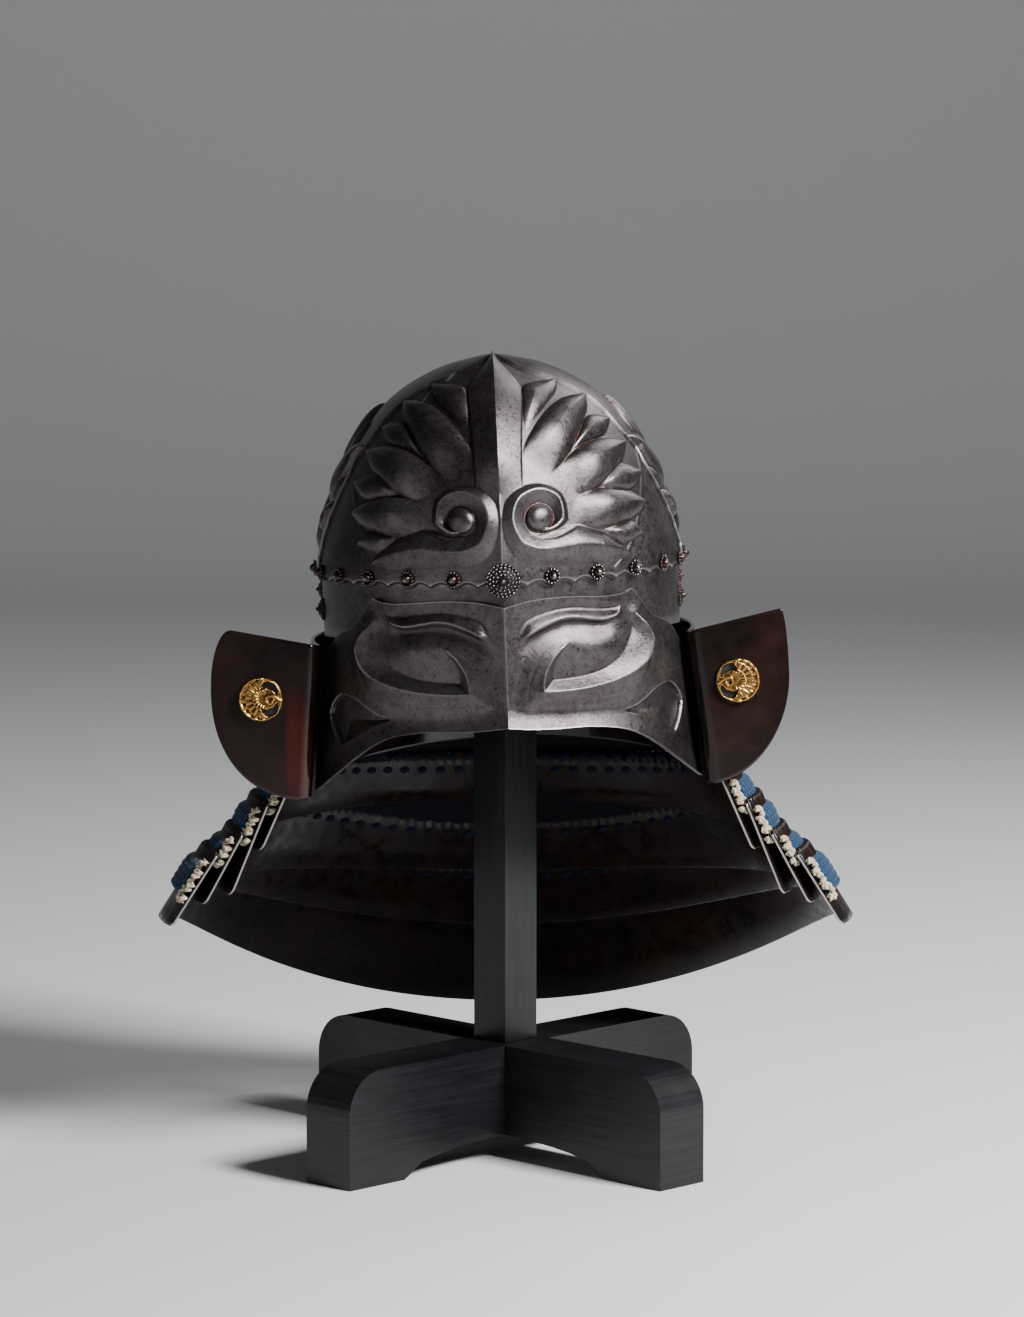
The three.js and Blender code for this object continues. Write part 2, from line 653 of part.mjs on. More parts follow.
function turnbackTop(x, side) {
  const { topStart, rootTop, cornerTop, widest } = TURNBACK;
  const reach = TURNBACK[`${side}Reach`];
  const cornerLength = TURNBACK[`${side}Corner`];
  const bend = reach - cornerLength;
  if (x <= bend) return lerp(rootTop, cornerTop, (x - topStart) / (bend - topStart));
  const out = Math.min((x - bend) / cornerLength, 1);
  return lerp(widest, cornerTop, Math.sqrt(1 - out * out));
}

function turnbackBottom(x, reach) {
  const { bottomStart, widest, bottom } = TURNBACK;
  const out = Math.min(Math.max((x - bottomStart) / (reach - bottomStart), 0), 1);
  return lerp(widest - GAP, bottom, Math.sqrt(1 - out * out));
}

function firstLame() {
  const wing = TURNBACK.steps;
  const main = LAME.steps;
  const total = main + 2 * wing;
  return sheet((u, v, depth) => {
    const step = Math.round(u * total);
    if (step < wing) return turnbackPoint('left', (wing - step) / wing, v, depth);
    if (step > total - wing) return turnbackPoint('right', (step - total + wing) / wing, v, depth);
    return lamePoint(LAMES[0], ((step - wing) / main) * 2 - 1, v, depth, FIRST_PLAN);
  }, LAME.wall, total, 1);
}

// Length round a lame's half, near enough for the short distances set in from its ends.
const halfGirth = (lame) => lame.lowW * 1.9;

// Lacing hangs on the outside of a lame, from under its scale heads to behind the next lame's heads.
function lacingPoint(number, s, v, depth) {
  const lame = LAMES[number];
  const next = LAMES[number + 1];
  const plan = number === 0 ? FIRST_PLAN : HANGING_PLAN;
  const upper = upperHeight(lame, s);
  const tall = upper - lowerHeight(lame, s);
  const bareHead = number === 0 ? tall * LACING.firstHead : LAME.headHeight;
  const foot = next ? upperHeight(next, s) - LACING.tuck : lowerHeight(lame, s) + LAME.bareHem;
  const outside = LAME.wall + LACING.gap + depth;
  return lamePoint(lame, s, lerp(bareHead / tall, (upper - foot) / tall, v), outside, plan);
}

function lacing(number) {
  const span = number === 0 ? LACING.firstSpan : 1 - LACING.endRoom / halfGirth(LAMES[number]);
  const place = (u, v, depth) => lacingPoint(number, (u * 2 - 1) * span, v, depth);
  return sheet(place, LACING.wall, LACING.steps, 1);
}

// A cord down the front end of a lame, beside its lacing.
function edgeCord(number, side) {
  const { radius, inset } = EDGE_CORD;
  const s = mirrorFor(side) * (1 - inset / halfGirth(LAMES[number]));
  const reach = LAMES[number + 1] ? EDGE_CORD.reach : EDGE_CORD.lastReach;
  const points = [0, 0.35, 0.7, 1].map((v) => lacingPoint(number, s, v * reach, radius));
  const section = new THREE.Shape();
  section.absarc(0, 0, radius, 0, 2 * Math.PI, false);
  return new THREE.ExtrudeGeometry(section, {
    steps: 4, curveSegments: 3, extrudePath: new THREE.CatmullRomCurve3(points),
  });
}

// ---------------------------------------------------------------- assembly

function named(name, geometry, material) {
  const mesh = new THREE.Mesh(geometry, material);
  mesh.name = name;
  return mesh;
}

function makeStand() {
  const { boardHeight, postSide, restTop, restHeight } = STAND;
  const stand = new THREE.Group();
  const lower = named('cross_board_lower', board(false), MATERIALS.wood);
  lower.rotation.z = 45 * DEG;
  const upper = named('cross_board_upper', board(true), MATERIALS.wood);
  upper.rotation.z = -45 * DEG;
  const postTop = restTop - restHeight - GAP;
  const postBottom = boardHeight + GAP;
  const post = named('post', new THREE.BoxGeometry(postSide, postSide, postTop - postBottom), MATERIALS.wood);
  post.position.z = (postTop + postBottom) / 2;
  post.rotation.z = 45 * DEG;
  const rest = named('head_rest', headRest(), MATERIALS.wood);
  rest.position.z = restTop - restHeight;
  stand.add(lower, upper, post, rest);
  return stand;
}

function makeStuds() {
  const studs = new THREE.Group();
  const onSkirt = (angle) => bowlPoint(angle, 0).setZ(RIVET.height);
  const forward = new THREE.Vector3(0, -1, 0);
  const frontRosette = named('rosette_front', stud(ROSETTE_PROFILE, 12), MATERIALS.iron);
  studs.add(seat(frontRosette, onSkirt(0).addScaledVector(forward, RIVET.embed), forward));
  for (let i = 1; i < RIVET.positions; i += 1) {
    const turns = i > RIVET.positions / 2 ? i / RIVET.positions - 1 : i / RIVET.positions;
    const angle = turns * 2 * Math.PI;
    const rivet = named(`rivet_${String(i).padStart(2, '0')}`, stud(RIVET_PROFILE, 6), MATERIALS.iron);
    const out = outwardAt(onSkirt, angle);
    studs.add(seat(rivet, onSkirt(angle).addScaledVector(out, RIVET.embed), out));
  }
  for (const side of ['left', 'right']) {
    for (const { place, degrees, height } of SIDE_ROSETTES) {
      const onBand = (angle) => bandPoint(angle, height, 0);
      const angle = mirrorFor(side) * degrees * DEG;
      const rosette = named(`rosette_${side}_${place}`, stud(SIDE_ROSETTE_PROFILE, 9), MATERIALS.iron);
      studs.add(seat(rosette, onBand(angle), outwardAt(onBand, angle)));
    }
  }
  return studs;
}

function makeCrest(side) {
  const sign = mirrorFor(side);
  const mesh = named(`crest_${side}`, stud(CREST_PROFILE, 12), MATERIALS.gold);
  const x = side === 'left' ? CREST.leftX : CREST.rightX;
  const tilt = (TURNBACK.curlDegrees - 90) * DEG;
  const out = new THREE.Vector3(sign * Math.sin(tilt), -Math.cos(tilt), 0);
  const faceY = FIRST_PLAN.endY - TURNBACK.curl + (x - CREST.curlX - TURNBACK.curl) * Math.tan(tilt);
  return seat(mesh, new THREE.Vector3(sign * x, faceY - GAP, CREST.height), out);
}

function makeHelmet() {
  const lean = new THREE.Group();
  lean.position.set(HELMET.x, 0, HELMET.height);
  lean.rotation.y = -HELMET.leanDegrees * DEG;
  const turn = new THREE.Group();
  turn.rotation.z = HELMET.turnDegrees * DEG;
  turn.add(
    named('bowl_front', frontPlate(), MATERIALS.iron),
    named('bowl_left', sidePlate('left'), MATERIALS.iron),
    named('bowl_right', sidePlate('right'), MATERIALS.iron),
    named('brow_band', browBand(), MATERIALS.iron),
    named('visor', visor(), MATERIALS.iron),
    makeStuds(),
    named('lame_1', firstLame(), MATERIALS.lacquer),
    named('lacing_1', lacing(0), MATERIALS.lacing),
    makeCrest('left'),
    makeCrest('right'),
  );
  lean.add(turn);
  return lean;
}

// The lower lames hang level on their lacing, whatever way the bowl leans.
function makeHangingLames() {
  const hang = new THREE.Group();
  hang.position.set(HELMET.x + HELMET.hangShift, 0, HELMET.height);
  hang.rotation.z = HELMET.turnDegrees * DEG;
  for (let number = 1; number < LAMES.length; number += 1) {
    hang.add(named(`lame_${number + 1}`, plainLame(LAMES[number]), MATERIALS.lacquer));
    hang.add(named(`lacing_${number + 1}`, lacing(number), MATERIALS.lacing));
    for (const side of ['left', 'right']) {
      hang.add(named(`edge_cord_${number + 1}_${side}`, edgeCord(number, side), MATERIALS.cord));
    }
  }
  return hang;
}

const laidOut = new THREE.Group();
laidOut.add(makeStand(), makeHelmet(), makeHangingLames());

const extent = new THREE.Box3().setFromObject(laidOut, true);
const middle = extent.getCenter(new THREE.Vector3());
laidOut.position.set(-middle.x, -middle.y, -extent.min.z);

const kabuto = new THREE.Group();
kabuto.add(laidOut);

export default kabuto;
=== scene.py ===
"""Looks of a kabuto on its cross stand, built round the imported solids.

Lengths in the helmet's own frame are in millimetres: z is 0 at the rivet line, -y is the front.
"""

import math
from types import SimpleNamespace as Sizes

import bpy
import numpy as np
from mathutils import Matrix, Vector


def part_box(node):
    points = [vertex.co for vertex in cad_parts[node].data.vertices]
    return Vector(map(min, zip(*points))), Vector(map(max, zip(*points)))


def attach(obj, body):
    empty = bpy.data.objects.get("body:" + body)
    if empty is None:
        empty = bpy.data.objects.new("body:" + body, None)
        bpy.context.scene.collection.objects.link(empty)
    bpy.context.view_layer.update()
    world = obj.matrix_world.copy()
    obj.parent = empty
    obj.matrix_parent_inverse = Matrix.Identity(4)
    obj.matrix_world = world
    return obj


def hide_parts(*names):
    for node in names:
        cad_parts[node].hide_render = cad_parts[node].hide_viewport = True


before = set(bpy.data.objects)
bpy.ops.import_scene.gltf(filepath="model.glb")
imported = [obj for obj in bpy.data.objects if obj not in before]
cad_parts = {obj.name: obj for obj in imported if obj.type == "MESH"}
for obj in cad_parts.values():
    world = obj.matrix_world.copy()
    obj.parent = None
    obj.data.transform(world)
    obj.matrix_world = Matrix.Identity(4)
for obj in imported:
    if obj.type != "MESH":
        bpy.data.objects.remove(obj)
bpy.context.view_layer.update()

MM = 0.001
post_low, post_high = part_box("post")
AXIS = np.array([(post_low.x + post_high.x) / 2, (post_low.y + post_high.y) / 2, 0])
STEP = 1

# ---------- dimensions

LEAN, TURN = math.radians(2.2), math.radians(1)
HELMET_X, HELMET_Z, HANG_SHIFT = -3, 326, 3.5
GAP = 0.3
SIDES = (("left", -1), ("right", 1))
BOWL = Sizes(half=99.5, rise=114.6, crown_y=-30, front=78, back=147, keel=0.2, wall=2.2)
DRAW_IN = dict(side=(1.4, 0.45), front=(2.2, 0.56), back=(2, 0.4))
BAND = Sizes(wall=2, front=33, back=52)
VISOR = Sizes(
    wall=2.2, top_width=101, flare=8.4, lean=2.5, top=-12, drop=105, back=117, lip=3.2, lip_height=10,
)
GIRTH_RADIUS = 108
RIVETS = 24

# Upper and lower edge of each lame: half-widths, depths to the back, heights at the ends and at the back.
LAME_COLUMNS = ("up_w", "low_w", "up_rear", "low_rear", "up_end", "up_back", "low_end", "low_back")
LAMES = [
    Sizes(**dict(zip(LAME_COLUMNS, row)))
    for row in (
        (101, 109.5, 115.5, 119, -38, -42, -120, -112),
        (123.5, 141.5, 127.5, 134.5, -112, -121, -154, -150),
        (136.5, 157, 144, 153, -126, -161, -178.5, -194),
        (149.5, 171, 159, 172.5, -143, -188, -183.5, -229),
        (162.5, 188.5, 177.5, 197, -154, -222, -195.5, -279),
    )
]
# Plans of the first lame and of the hanging ones: y of the middle and of the ends, spread of the ends.
PLANS = [Sizes(centre=4.5, end=-40, spread=6), Sizes(centre=10, end=-35, spread=0)]
LAME_WALL = 2.2
HEAD_HEIGHT, BARE_HEM, TUCK = 9, 17, 4
TURNBACK = Sizes(
    curl=7, degrees=95.7, share=0.3, top_start=98, root_top=-38, corner_top=-28, widest=-62, bottom_start=106,
    bottom=-120.5,
)
# The two flaps: reach, width of the rounded upper corner, fullness of the lower edge.
FLAPS = {-1: Sizes(reach=158, corner=12, fullness=2.25), 1: Sizes(reach=152.5, corner=3.5, fullness=2)}
CRESTS = {-1: 131, 1: 124.3}
CREST_HEIGHT, CREST_RADIUS = -65.3, 12

# ---------- numbers


def unit(value):
    return np.clip(value, 0, 1)


def lerp(a, b, t):
    return a + (b - a) * t


def ease(t):
    t = unit(t)
    return t * t * (3 - 2 * t)


def ridge(away, half):
    """1 on a line, falling straight to 0 at half its width."""
    return unit(1 - away / half)


def hump(away, width):
    return np.exp(-((away / width) ** 2))


def part_way(from_start, from_end):
    """Share of the way between two lines, by the distances to both."""
    return from_start / (from_start + from_end + 1e-6)


def around(count):
    return np.linspace(0, 2 * math.pi, count, endpoint=False)


# ---------- frames


def turned_plan(points):
    x, y = points[..., 0], points[..., 1]
    return x * math.cos(TURN) - y * math.sin(TURN), x * math.sin(TURN) + y * math.cos(TURN)


def helmet(points):
    """Millimetres in the helmet's frame to metres in the row's."""
    x, y = turned_plan(points)
    z = points[..., 2]
    leaning_x = x * math.cos(LEAN) - z * math.sin(LEAN) + HELMET_X
    leaning_z = x * math.sin(LEAN) + z * math.cos(LEAN) + HELMET_Z
    return np.stack([leaning_x, y, leaning_z], -1) * MM + AXIS


def hanging(points):
    """Millimetres in the level frame of the laced lames to metres in the row's."""
    x, y = turned_plan(points)
    return np.stack([x + HELMET_X + HANG_SHIFT, y, points[..., 2] + HELMET_Z], -1) * MM + AXIS


# ---------- meshes


def add_object(name, data):
    obj = bpy.data.objects.new(name, data)
    bpy.context.scene.collection.objects.link(obj)
    return obj


def smooth_mesh(name, vertices, faces, material):
    mesh = bpy.data.meshes.new(name)
    mesh.from_pydata(vertices, [], faces)
    mesh.update()
    mesh.polygons.foreach_set("use_smooth", [True] * len(mesh.polygons))
    mesh.materials.append(material)
    return mesh


def add_mesh(name, parts, material, nodes=()):
    """parts: (vertices, faces) pairs, joined into one piece that rides on the object."""
    vertices, faces, base = [], [], 0
    for part_vertices, part_faces in parts:
        vertices.append(np.asarray(part_vertices, float).reshape(-1, 3))
        faces.extend([[index + base for index in face] for face in part_faces])
        base += len(vertices[-1])
    obj = add_object(name, smooth_mesh(name, np.concatenate(vertices).tolist(), faces, material))
    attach(obj, "root")
    if nodes:
        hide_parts(*nodes)


def quads(columns, rows, ring=False, flip=False):
    """Faces of a grid whose vertex (i, j) is number i * rows + j."""
    faces = []
    for i in range(columns if ring else columns - 1):
        a, b = i * rows, ((i + 1) % columns) * rows
        for j in range(rows - 1):
            face = [a + j, b + j, b + j + 1, a + j + 1]
            faces.append(face[::-1] if flip else face)
    return faces


def grid(u, v):
    return np.meshgrid(u, v, indexing="ij")


def shell(place, u_fine, v_fine, u_coarse, v_coarse, ring=False, flip=False):
    """An outer face, a plainer inner face and the rims between. place(u, v, inner) gives metres."""
    outer = place(*grid(u_fine, v_fine), False)
    inner = place(*grid(u_coarse, v_coarse), True)
    parts = [
        (outer, quads(len(u_fine), len(v_fine), ring, flip)),
        (inner, quads(len(u_coarse), len(v_coarse), ring, not flip)),
    ]
    edge = place(*grid(u_fine, v_fine[[0, -1]]), True)
    for row, turned in ((0, not flip), (-1, flip)):
        rim = np.stack([outer[:, row], edge[:, row]], 1)
        parts.append((rim, quads(len(u_fine), 2, ring, turned)))
    if not ring:
        side = place(*grid(u_fine[[0, -1]], v_fine), True)
        for column, turned in ((0, flip), (-1, not flip)):
            rim = np.stack([outer[column], side[column]], 1)
            parts.append((rim, quads(len(v_fine), 2, False, turned)))
    return parts


def wall_axes(normal):
    """A wall's unit normal and two directions along it."""
    normal = np.asarray(normal, float) / np.linalg.norm(normal)
    across = np.cross(normal, [0, 0, 1])
    across /= np.linalg.norm(across)
    return normal, across, np.cross(across, normal)


def circle(turn, across, upward):
    return np.cos(turn)[..., None] * across + np.sin(turn)[..., None] * upward


def spots(point, normal, radius, rise, sides, rings):
    """A low dome that stands on a wall."""
    normal, across, upward = wall_axes(normal)
    t, d = grid(around(sides), np.linspace(0, math.pi / 2, rings))
    side = circle(t, across, upward) * np.cos(d)[..., None]
    return point + side * radius + np.sin(d)[..., None] * normal * rise, quads(sides, rings, True)


def curve_through(points, count):
    """A smooth open curve through a few places."""
    p = np.asarray(points, float)
    padded = np.concatenate([[2 * p[0] - p[1]], p, [2 * p[-1] - p[-2]]])
    out = []
    for value in np.linspace(0, len(p) - 1, count):
        i = min(int(value), len(p) - 2)
        t = value - i
        a, b, c, d = padded[i : i + 4]
        cubic = (3 * b - a - 3 * c + d) * t**3
        out.append(0.5 * (2 * b + (c - a) * t + (2 * a - 5 * b + 4 * c - d) * t * t + cubic))
    return np.array(out)


# ---------- relief


def distance(a, b, line):
    """Distance from places (a, b) to an open line, and how far along the line the nearest place is."""
    best = np.full(a.shape, 1e9)
    along = np.zeros(a.shape)
    segments = len(line) - 1
    for k, (p, q) in enumerate(zip(line[:-1], line[1:])):
        d = q - p
        t = unit(((a - p[0]) * d[0] + (b - p[1]) * d[1]) / max(d @ d, 1e-9))
        gap = np.hypot(a - p[0] - t * d[0], b - p[1] - t * d[1])
        nearer = gap < best
        best = np.where(nearer, gap, best)
        along = np.where(nearer, (k + t) / segments, along)
    return best, along


def gap_to(a, b, line):
    return distance(a, b, line)[0]


def inside(a, b, edge, other_edge):
    """Whether places lie between two edges that run the same way."""
    outline = np.concatenate([edge, other_edge[::-1]])
    odd = np.zeros(a.shape, bool)
    for p, q in zip(outline, np.roll(outline, -1, axis=0)):
        if p[1] != q[1]:
            crosses = (p[1] > b) != (q[1] > b)
            odd ^= crosses & (a < (q[0] - p[0]) * (b - p[1]) / (q[1] - p[1]) + p[0])
    return odd


def leaf(a, b, upper, lower, height, round_off, fade=0.45):
    """A leaf that swells inside two edge curves, each from its foot to its tip."""
    edge_up, edge_low = curve_through(upper, 14), curve_through(lower, 14)
    depth = np.minimum(gap_to(a, b, edge_up), gap_to(a, b, edge_low) * 0.8)
    swell = np.sqrt(1 - (1 - unit(depth / round_off)) ** 2)
    foot = (edge_up[0] + edge_low[0]) / 2
    axis = edge_up[-1] - foot
    along = ((a - foot[0]) * axis[0] + (b - foot[1]) * axis[1]) / (axis @ axis)
    return np.where(inside(a, b, edge_up, edge_low), height * swell * ease(along / fade), 0)


# Edges of the front palmette's leaves, right half: distances from the keel and heights.
FRONT_LEAVES = [
    dict(
        upper=[(14.6, 74.5), (14.5, 82), (14.5, 90), (15.2, 98.5), (22.4, 100.8), (33.5, 101)],
        lower=[(14.6, 74.5), (21.2, 81.9), (27.9, 89.2), (32.5, 94.6), (33.5, 101)],
        height=3.8, round_off=8.5, fade=0.5,
    ),
    dict(
        upper=[(11.5, 56), (14, 67), (23, 80), (32.5, 88.3), (40.5, 91), (48.2, 90.6)],
        lower=[(27, 52), (34, 58.5), (40, 66.5), (45, 75.5), (48.8, 84.5), (48.2, 90.6)],
        height=6, round_off=12.5, fade=0.5,
    ),
    dict(
        upper=[(38, 62), (43, 70.5), (47.5, 78.8), (53.5, 79.8), (60.8, 77.2)],
        lower=[(38, 62), (45.5, 67), (53.8, 68.6), (58.3, 71.5), (60.8, 77.2)],
        height=3.2, round_off=5.4, fade=0.35,
    ),
    dict(
        upper=[(30, 52.5), (37, 60), (47, 66), (58.5, 67.8), (69.2, 65)],
        lower=[(36, 44), (45, 41), (54, 45), (61.5, 51), (67, 57.5), (69.2, 65)],
        height=5.8, round_off=11.5, fade=0.5,
    ),
    dict(
        upper=[(51.5, 43.6), (59, 50.6), (66.4, 53.2), (76.8, 48.6)],
        lower=[(51.5, 43.6), (62, 41.8), (71.6, 41.6), (76.8, 48.6)],
        height=3.2, round_off=5.4, fade=0.35,
    ),
    dict(
        upper=[(37, 36.5), (46, 41.4), (57.5, 42.2), (69.5, 39), (78, 33.3)],
        lower=[(38, 27.5), (46, 23.6), (54.5, 22.8), (63.3, 23.4), (73.5, 27.7), (78, 33.3)],
        height=5.4, round_off=10.5, fade=0.5,
    ),
    dict(
        upper=[(54.5, 22.3), (63, 23), (70.3, 23.4), (75.8, 17.4)],
        lower=[(54.5, 22.3), (58, 18), (65, 13.5), (75.8, 17.4)],
        height=2.8, round_off=5, fade=0.35,
    ),
]
# The blade on the keel: height and half-width, from its foot to its tip.
LANCE = [
    (40, 13), (50, 12.5), (60, 12.6), (75, 13.3), (90, 14.4), (97, 14.3), (103, 11.4), (109.7, 4.9),
    (114, 0.4),
]
BLADE = Sizes(crest=3.4, edge=1.1, edge_width=0.7, foot=38, fade=24)
KEEL = Sizes(rise=0.9, half=1.6, top=62)
# A thin raised line round the field of the palmette.
FIELD_EDGE = [
    (60, 1), (66.5, 8), (71.3, 18), (74.4, 28.8), (76.2, 38.6), (77, 48.3), (74.6, 60), (68, 74),
    (55, 89),
]
FIELD_LINE = Sizes(rise=0.4, half=0.9)

VOLUTE_CENTRE = (20.4, 30.2)
BOSS_RADIUS, BOSS_RISE = 7, 4.8
# The lowest leaf, from its tip to the volute: inner edge, crest, outer edge and rise of the crest.
RIBBON_LEAF = [
    ((68.5, 7.6), (68.6, 7.5), (68.5, 7.4), 0.4),
    ((61.2, 15.4), (62.5, 10.5), (60, 4.4), 2.6),
    ((51.8, 21.2), (52.5, 13.5), (50, 4.4), 4.2),
    ((41, 25.1), (41, 15), (38, 5.4), 4.8),
    ((33, 24.6), (30, 14), (27, 6.4), 4.4),
]
# The ribbon that it runs on into: degrees round the boss, radii of inner edge, crest and outer edge, rise.
RIBBON_TURN = [
    (-90, 8.2, 16, 24, 4.2), (-113, 8.2, 15.3, 23.4, 4.2), (-135, 8.2, 15, 22.2, 4.2),
    (-180, 8, 14.1, 20.5, 4), (-225, 8, 14.7, 20, 3.8), (-270, 8, 14.4, 17.6, 3.6),
    (-315, 8, 13.8, 17, 3.4), (-360, 8, 12, 15.1, 3.2), (-378, 7.4, 10.6, 13, 3.2),
    (-396, 6.4, 9, 11.2, 3.3), (-414, 5.6, 7.6, 9.6, 3.5), (-434, 5, 6.4, 8, 3.6),
    (-454, 4.6, 5.4, 6.6, 3.4),
]
SIDE_RIBBON_START = [(-38, 8.4, 17.5, 27, 0.4), (-62, 8.3, 16.8, 25.5, 3.2)]
LEAF_ROUNDNESS, TURN_ROUNDNESS = 0.75, 0.12


def spaced(share, values):
    """Value at a share of the way, from values at even steps."""
    return np.interp(share, np.linspace(0, 1, len(values)), values)


def roof(a, b, inner, crest, outer, rises, roundness=(0, 0)):
    """A raised ribbon whose faces fall from a crest to an inner and an outer edge."""
    from_crest, along = distance(a, b, crest)
    within_inner = inside(a, b, inner, crest)
    within_outer = inside(a, b, crest, outer)
    near = np.where(within_inner, gap_to(a, b, inner), gap_to(a, b, outer))
    share = part_way(near, from_crest)
    profile = lerp(share, np.sin(share * math.pi / 2), spaced(along, roundness))
    return np.where(within_inner | within_outer, spaced(along, rises) * profile, 0)


def volute(a, b, centre, leaf_rows, turn_rows):
    """A ribbon that winds round a boss."""
    edges = []
    for column in range(3):
        places = [row[column] for row in leaf_rows]
        for degrees, *radii in turn_rows:
            angle, radius = math.radians(degrees), radii[column]
            places.append((centre[0] + radius * math.cos(angle), centre[1] + radius * math.sin(angle)))
        edges.append(curve_through(places, 110))
    rises = [row[-1] for row in (*leaf_rows, *turn_rows)]
    roundness = [LEAF_ROUNDNESS] * max(len(leaf_rows), 1) + [TURN_ROUNDNESS] * len(turn_rows)
    from_centre = np.hypot(a - centre[0], b - centre[1])
    boss = BOSS_RISE * np.sqrt(unit(1 - (from_centre / BOSS_RADIUS) ** 2))
    return np.maximum(roof(a, b, *edges, rises, roundness), boss)


def front_relief(x, h):
    across = np.abs(x)
    value = volute(across, h, VOLUTE_CENTRE, RIBBON_LEAF, RIBBON_TURN)
    for entry in FRONT_LEAVES:
        value = np.maximum(value, leaf(across, h, **entry))
    half = np.interp(h, *zip(*LANCE), right=0.01)
    blade = BLADE.crest * ridge(across, half) + BLADE.edge * unit((half - across) / BLADE.edge_width)
    value = np.maximum(value, blade * ease((h - BLADE.foot) / BLADE.fade) * (half > 0.1))
    value = np.maximum(value, KEEL.rise * ridge(across, KEEL.half) * (h < KEEL.top))
    near = gap_to(across, h, curve_through(FIELD_EDGE, 40))
    return value + FIELD_LINE.rise * ridge(near, FIELD_LINE.half) * (value < 0.3)


# Side palmettes: direction from the volute, start, length, width and height; 0 degrees points to the front.
SIDE_LEAVES = [
    (4, 17, 68, 15, 4.6), (21, 38, 40, 11, 2.8), (38, 20, 62, 20, 4.9), (58, 38, 38, 13, 2.8),
    (79, 20, 56, 22, 5), (101, 38, 38, 13, 2.8), (123, 20, 58, 20, 4.9), (144, 38, 42, 11, 2.8),
    (166, 17, 70, 15, 4.6),
]
SIDE_CENTRE = (198, 26)
SIDE_SQUASH = 0.82
# A side leaf's outline: share of its length and of its half-width.
LEAF_SHAPE = [(0, 0.5), (0.2, 0.85), (0.5, 1), (0.78, 0.8), (1, 0)]


def side_relief(girth, h):
    value = volute(girth, h, SIDE_CENTRE, [], SIDE_RIBBON_START + RIBBON_TURN)
    for direction, start, length, width, height in SIDE_LEAVES:
        angle = math.radians(direction)
        along = np.array([-math.cos(angle), math.sin(angle) * SIDE_SQUASH])
        across = np.array([-along[1], along[0]]) / np.linalg.norm(along)
        foot = np.array(SIDE_CENTRE) + along * start
        edges = []
        for half in (width / 2, -width / 2):
            edges.append([foot + along * length * t + across * half * w for t, w in LEAF_SHAPE])
        value = np.maximum(value, leaf(girth, h, *edges, height, width * 0.42))
    return value


# ---------- bowl


def draw_in(rise, name):
    power, root = DRAW_IN[name]
    return np.maximum(1 - rise**power, 0) ** root


def keeled(sine, cosine):
    """A round plan's share towards the front, drawn to a keel."""
    return cosine - BOWL.keel * np.abs(sine) * cosine**3


def plan_share(angle):
    cosine = np.cos(angle)
    return np.where(np.abs(angle) <= math.pi / 2, keeled(np.sin(angle), cosine), cosine)


def plan_y(front, back, share):
    """y on a plan that runs from front, at share 1, to back, at share -1."""
    return (front + back) / 2 - (back - front) / 2 * share


# How much lower than the plain dome the top is: twice the drop beside the ridge.
CROWN = Sizes(drop=1.4, half=17, start=85, fade=25)


def bowl_point(angle, height, lift=0.0):
    rise = unit(height / BOWL.rise)
    front = BOWL.crown_y - (BOWL.front + lift) * draw_in(rise, "front")
    back = BOWL.crown_y + (BOWL.back + lift) * draw_in(rise, "back")
    x = (BOWL.half + lift) * draw_in(rise, "side") * np.sin(angle)
    z = np.where(height < 0, height, (BOWL.rise + lift) * rise)
    beside = 1 + ease(np.abs(x) / CROWN.half)
    peak = CROWN.drop * beside * ease((height - CROWN.start) / CROWN.fade)
    return np.stack([x, plan_y(front, back, plan_share(angle)), z - peak], -1)


def bowl_half(height):
    return BOWL.half * draw_in(unit(height / BOWL.rise), "side")


# Where the front plate ends, from the crown to the hem: distance from the keel and height.
SEAM = [
    (0, 114.5), (15.4, 108.4), (32.5, 101.6), (40.5, 96.2), (48.8, 90.4), (58.3, 81), (67, 70), (74, 61),
    (80, 49.5), (84, 42), (90, 29), (93.6, 18.9), (96.5, 8.1), (97.6, 0),
]
SEAM_BEAD = Sizes(rise=1.5, half=1.3)


def seam_angle(height):
    """Angle at which the front plate ends."""
    places, levels = zip(*SEAM[::-1])
    x = np.interp(height, levels, places, right=0)
    return np.arcsin(np.clip(x / np.maximum(bowl_half(height), 0.01), 0, 0.999))


HEM = Sizes(arch=-2.2, lobe=2.8, cusp=2.4, rounded=0.6, inset=0.5, middle=0.35)
# Marks of the rows below the rivet line: the edge, the top of its rounding, and a row between.
EDGE_ROW, ROUNDED_ROW, MIDDLE_ROW = -4, -3, -1


def hem(angle):
    """Height of the bowl's scalloped lower edge: a round lobe under each rivet and a cusp between two."""
    pitches = RIVETS * angle / (2 * math.pi)
    gap = np.abs(pitches - np.round(pitches))
    lobe = HEM.lobe * np.cos(2 * math.pi * gap) ** 2
    cusp = HEM.cusp * (4 * gap - 1) ** 2
    return HEM.arch - np.where(gap < 0.25, lobe, cusp)


def bowl_rows(count):
    """The marked rows, then count rows up to the crown, closer near it."""
    level = np.linspace(0, 1, count)
    rising = BOWL.rise * np.sin(level * math.pi / 2) ** 1.15
    return np.concatenate([[EDGE_ROW, ROUNDED_ROW, MIDDLE_ROW], rising])


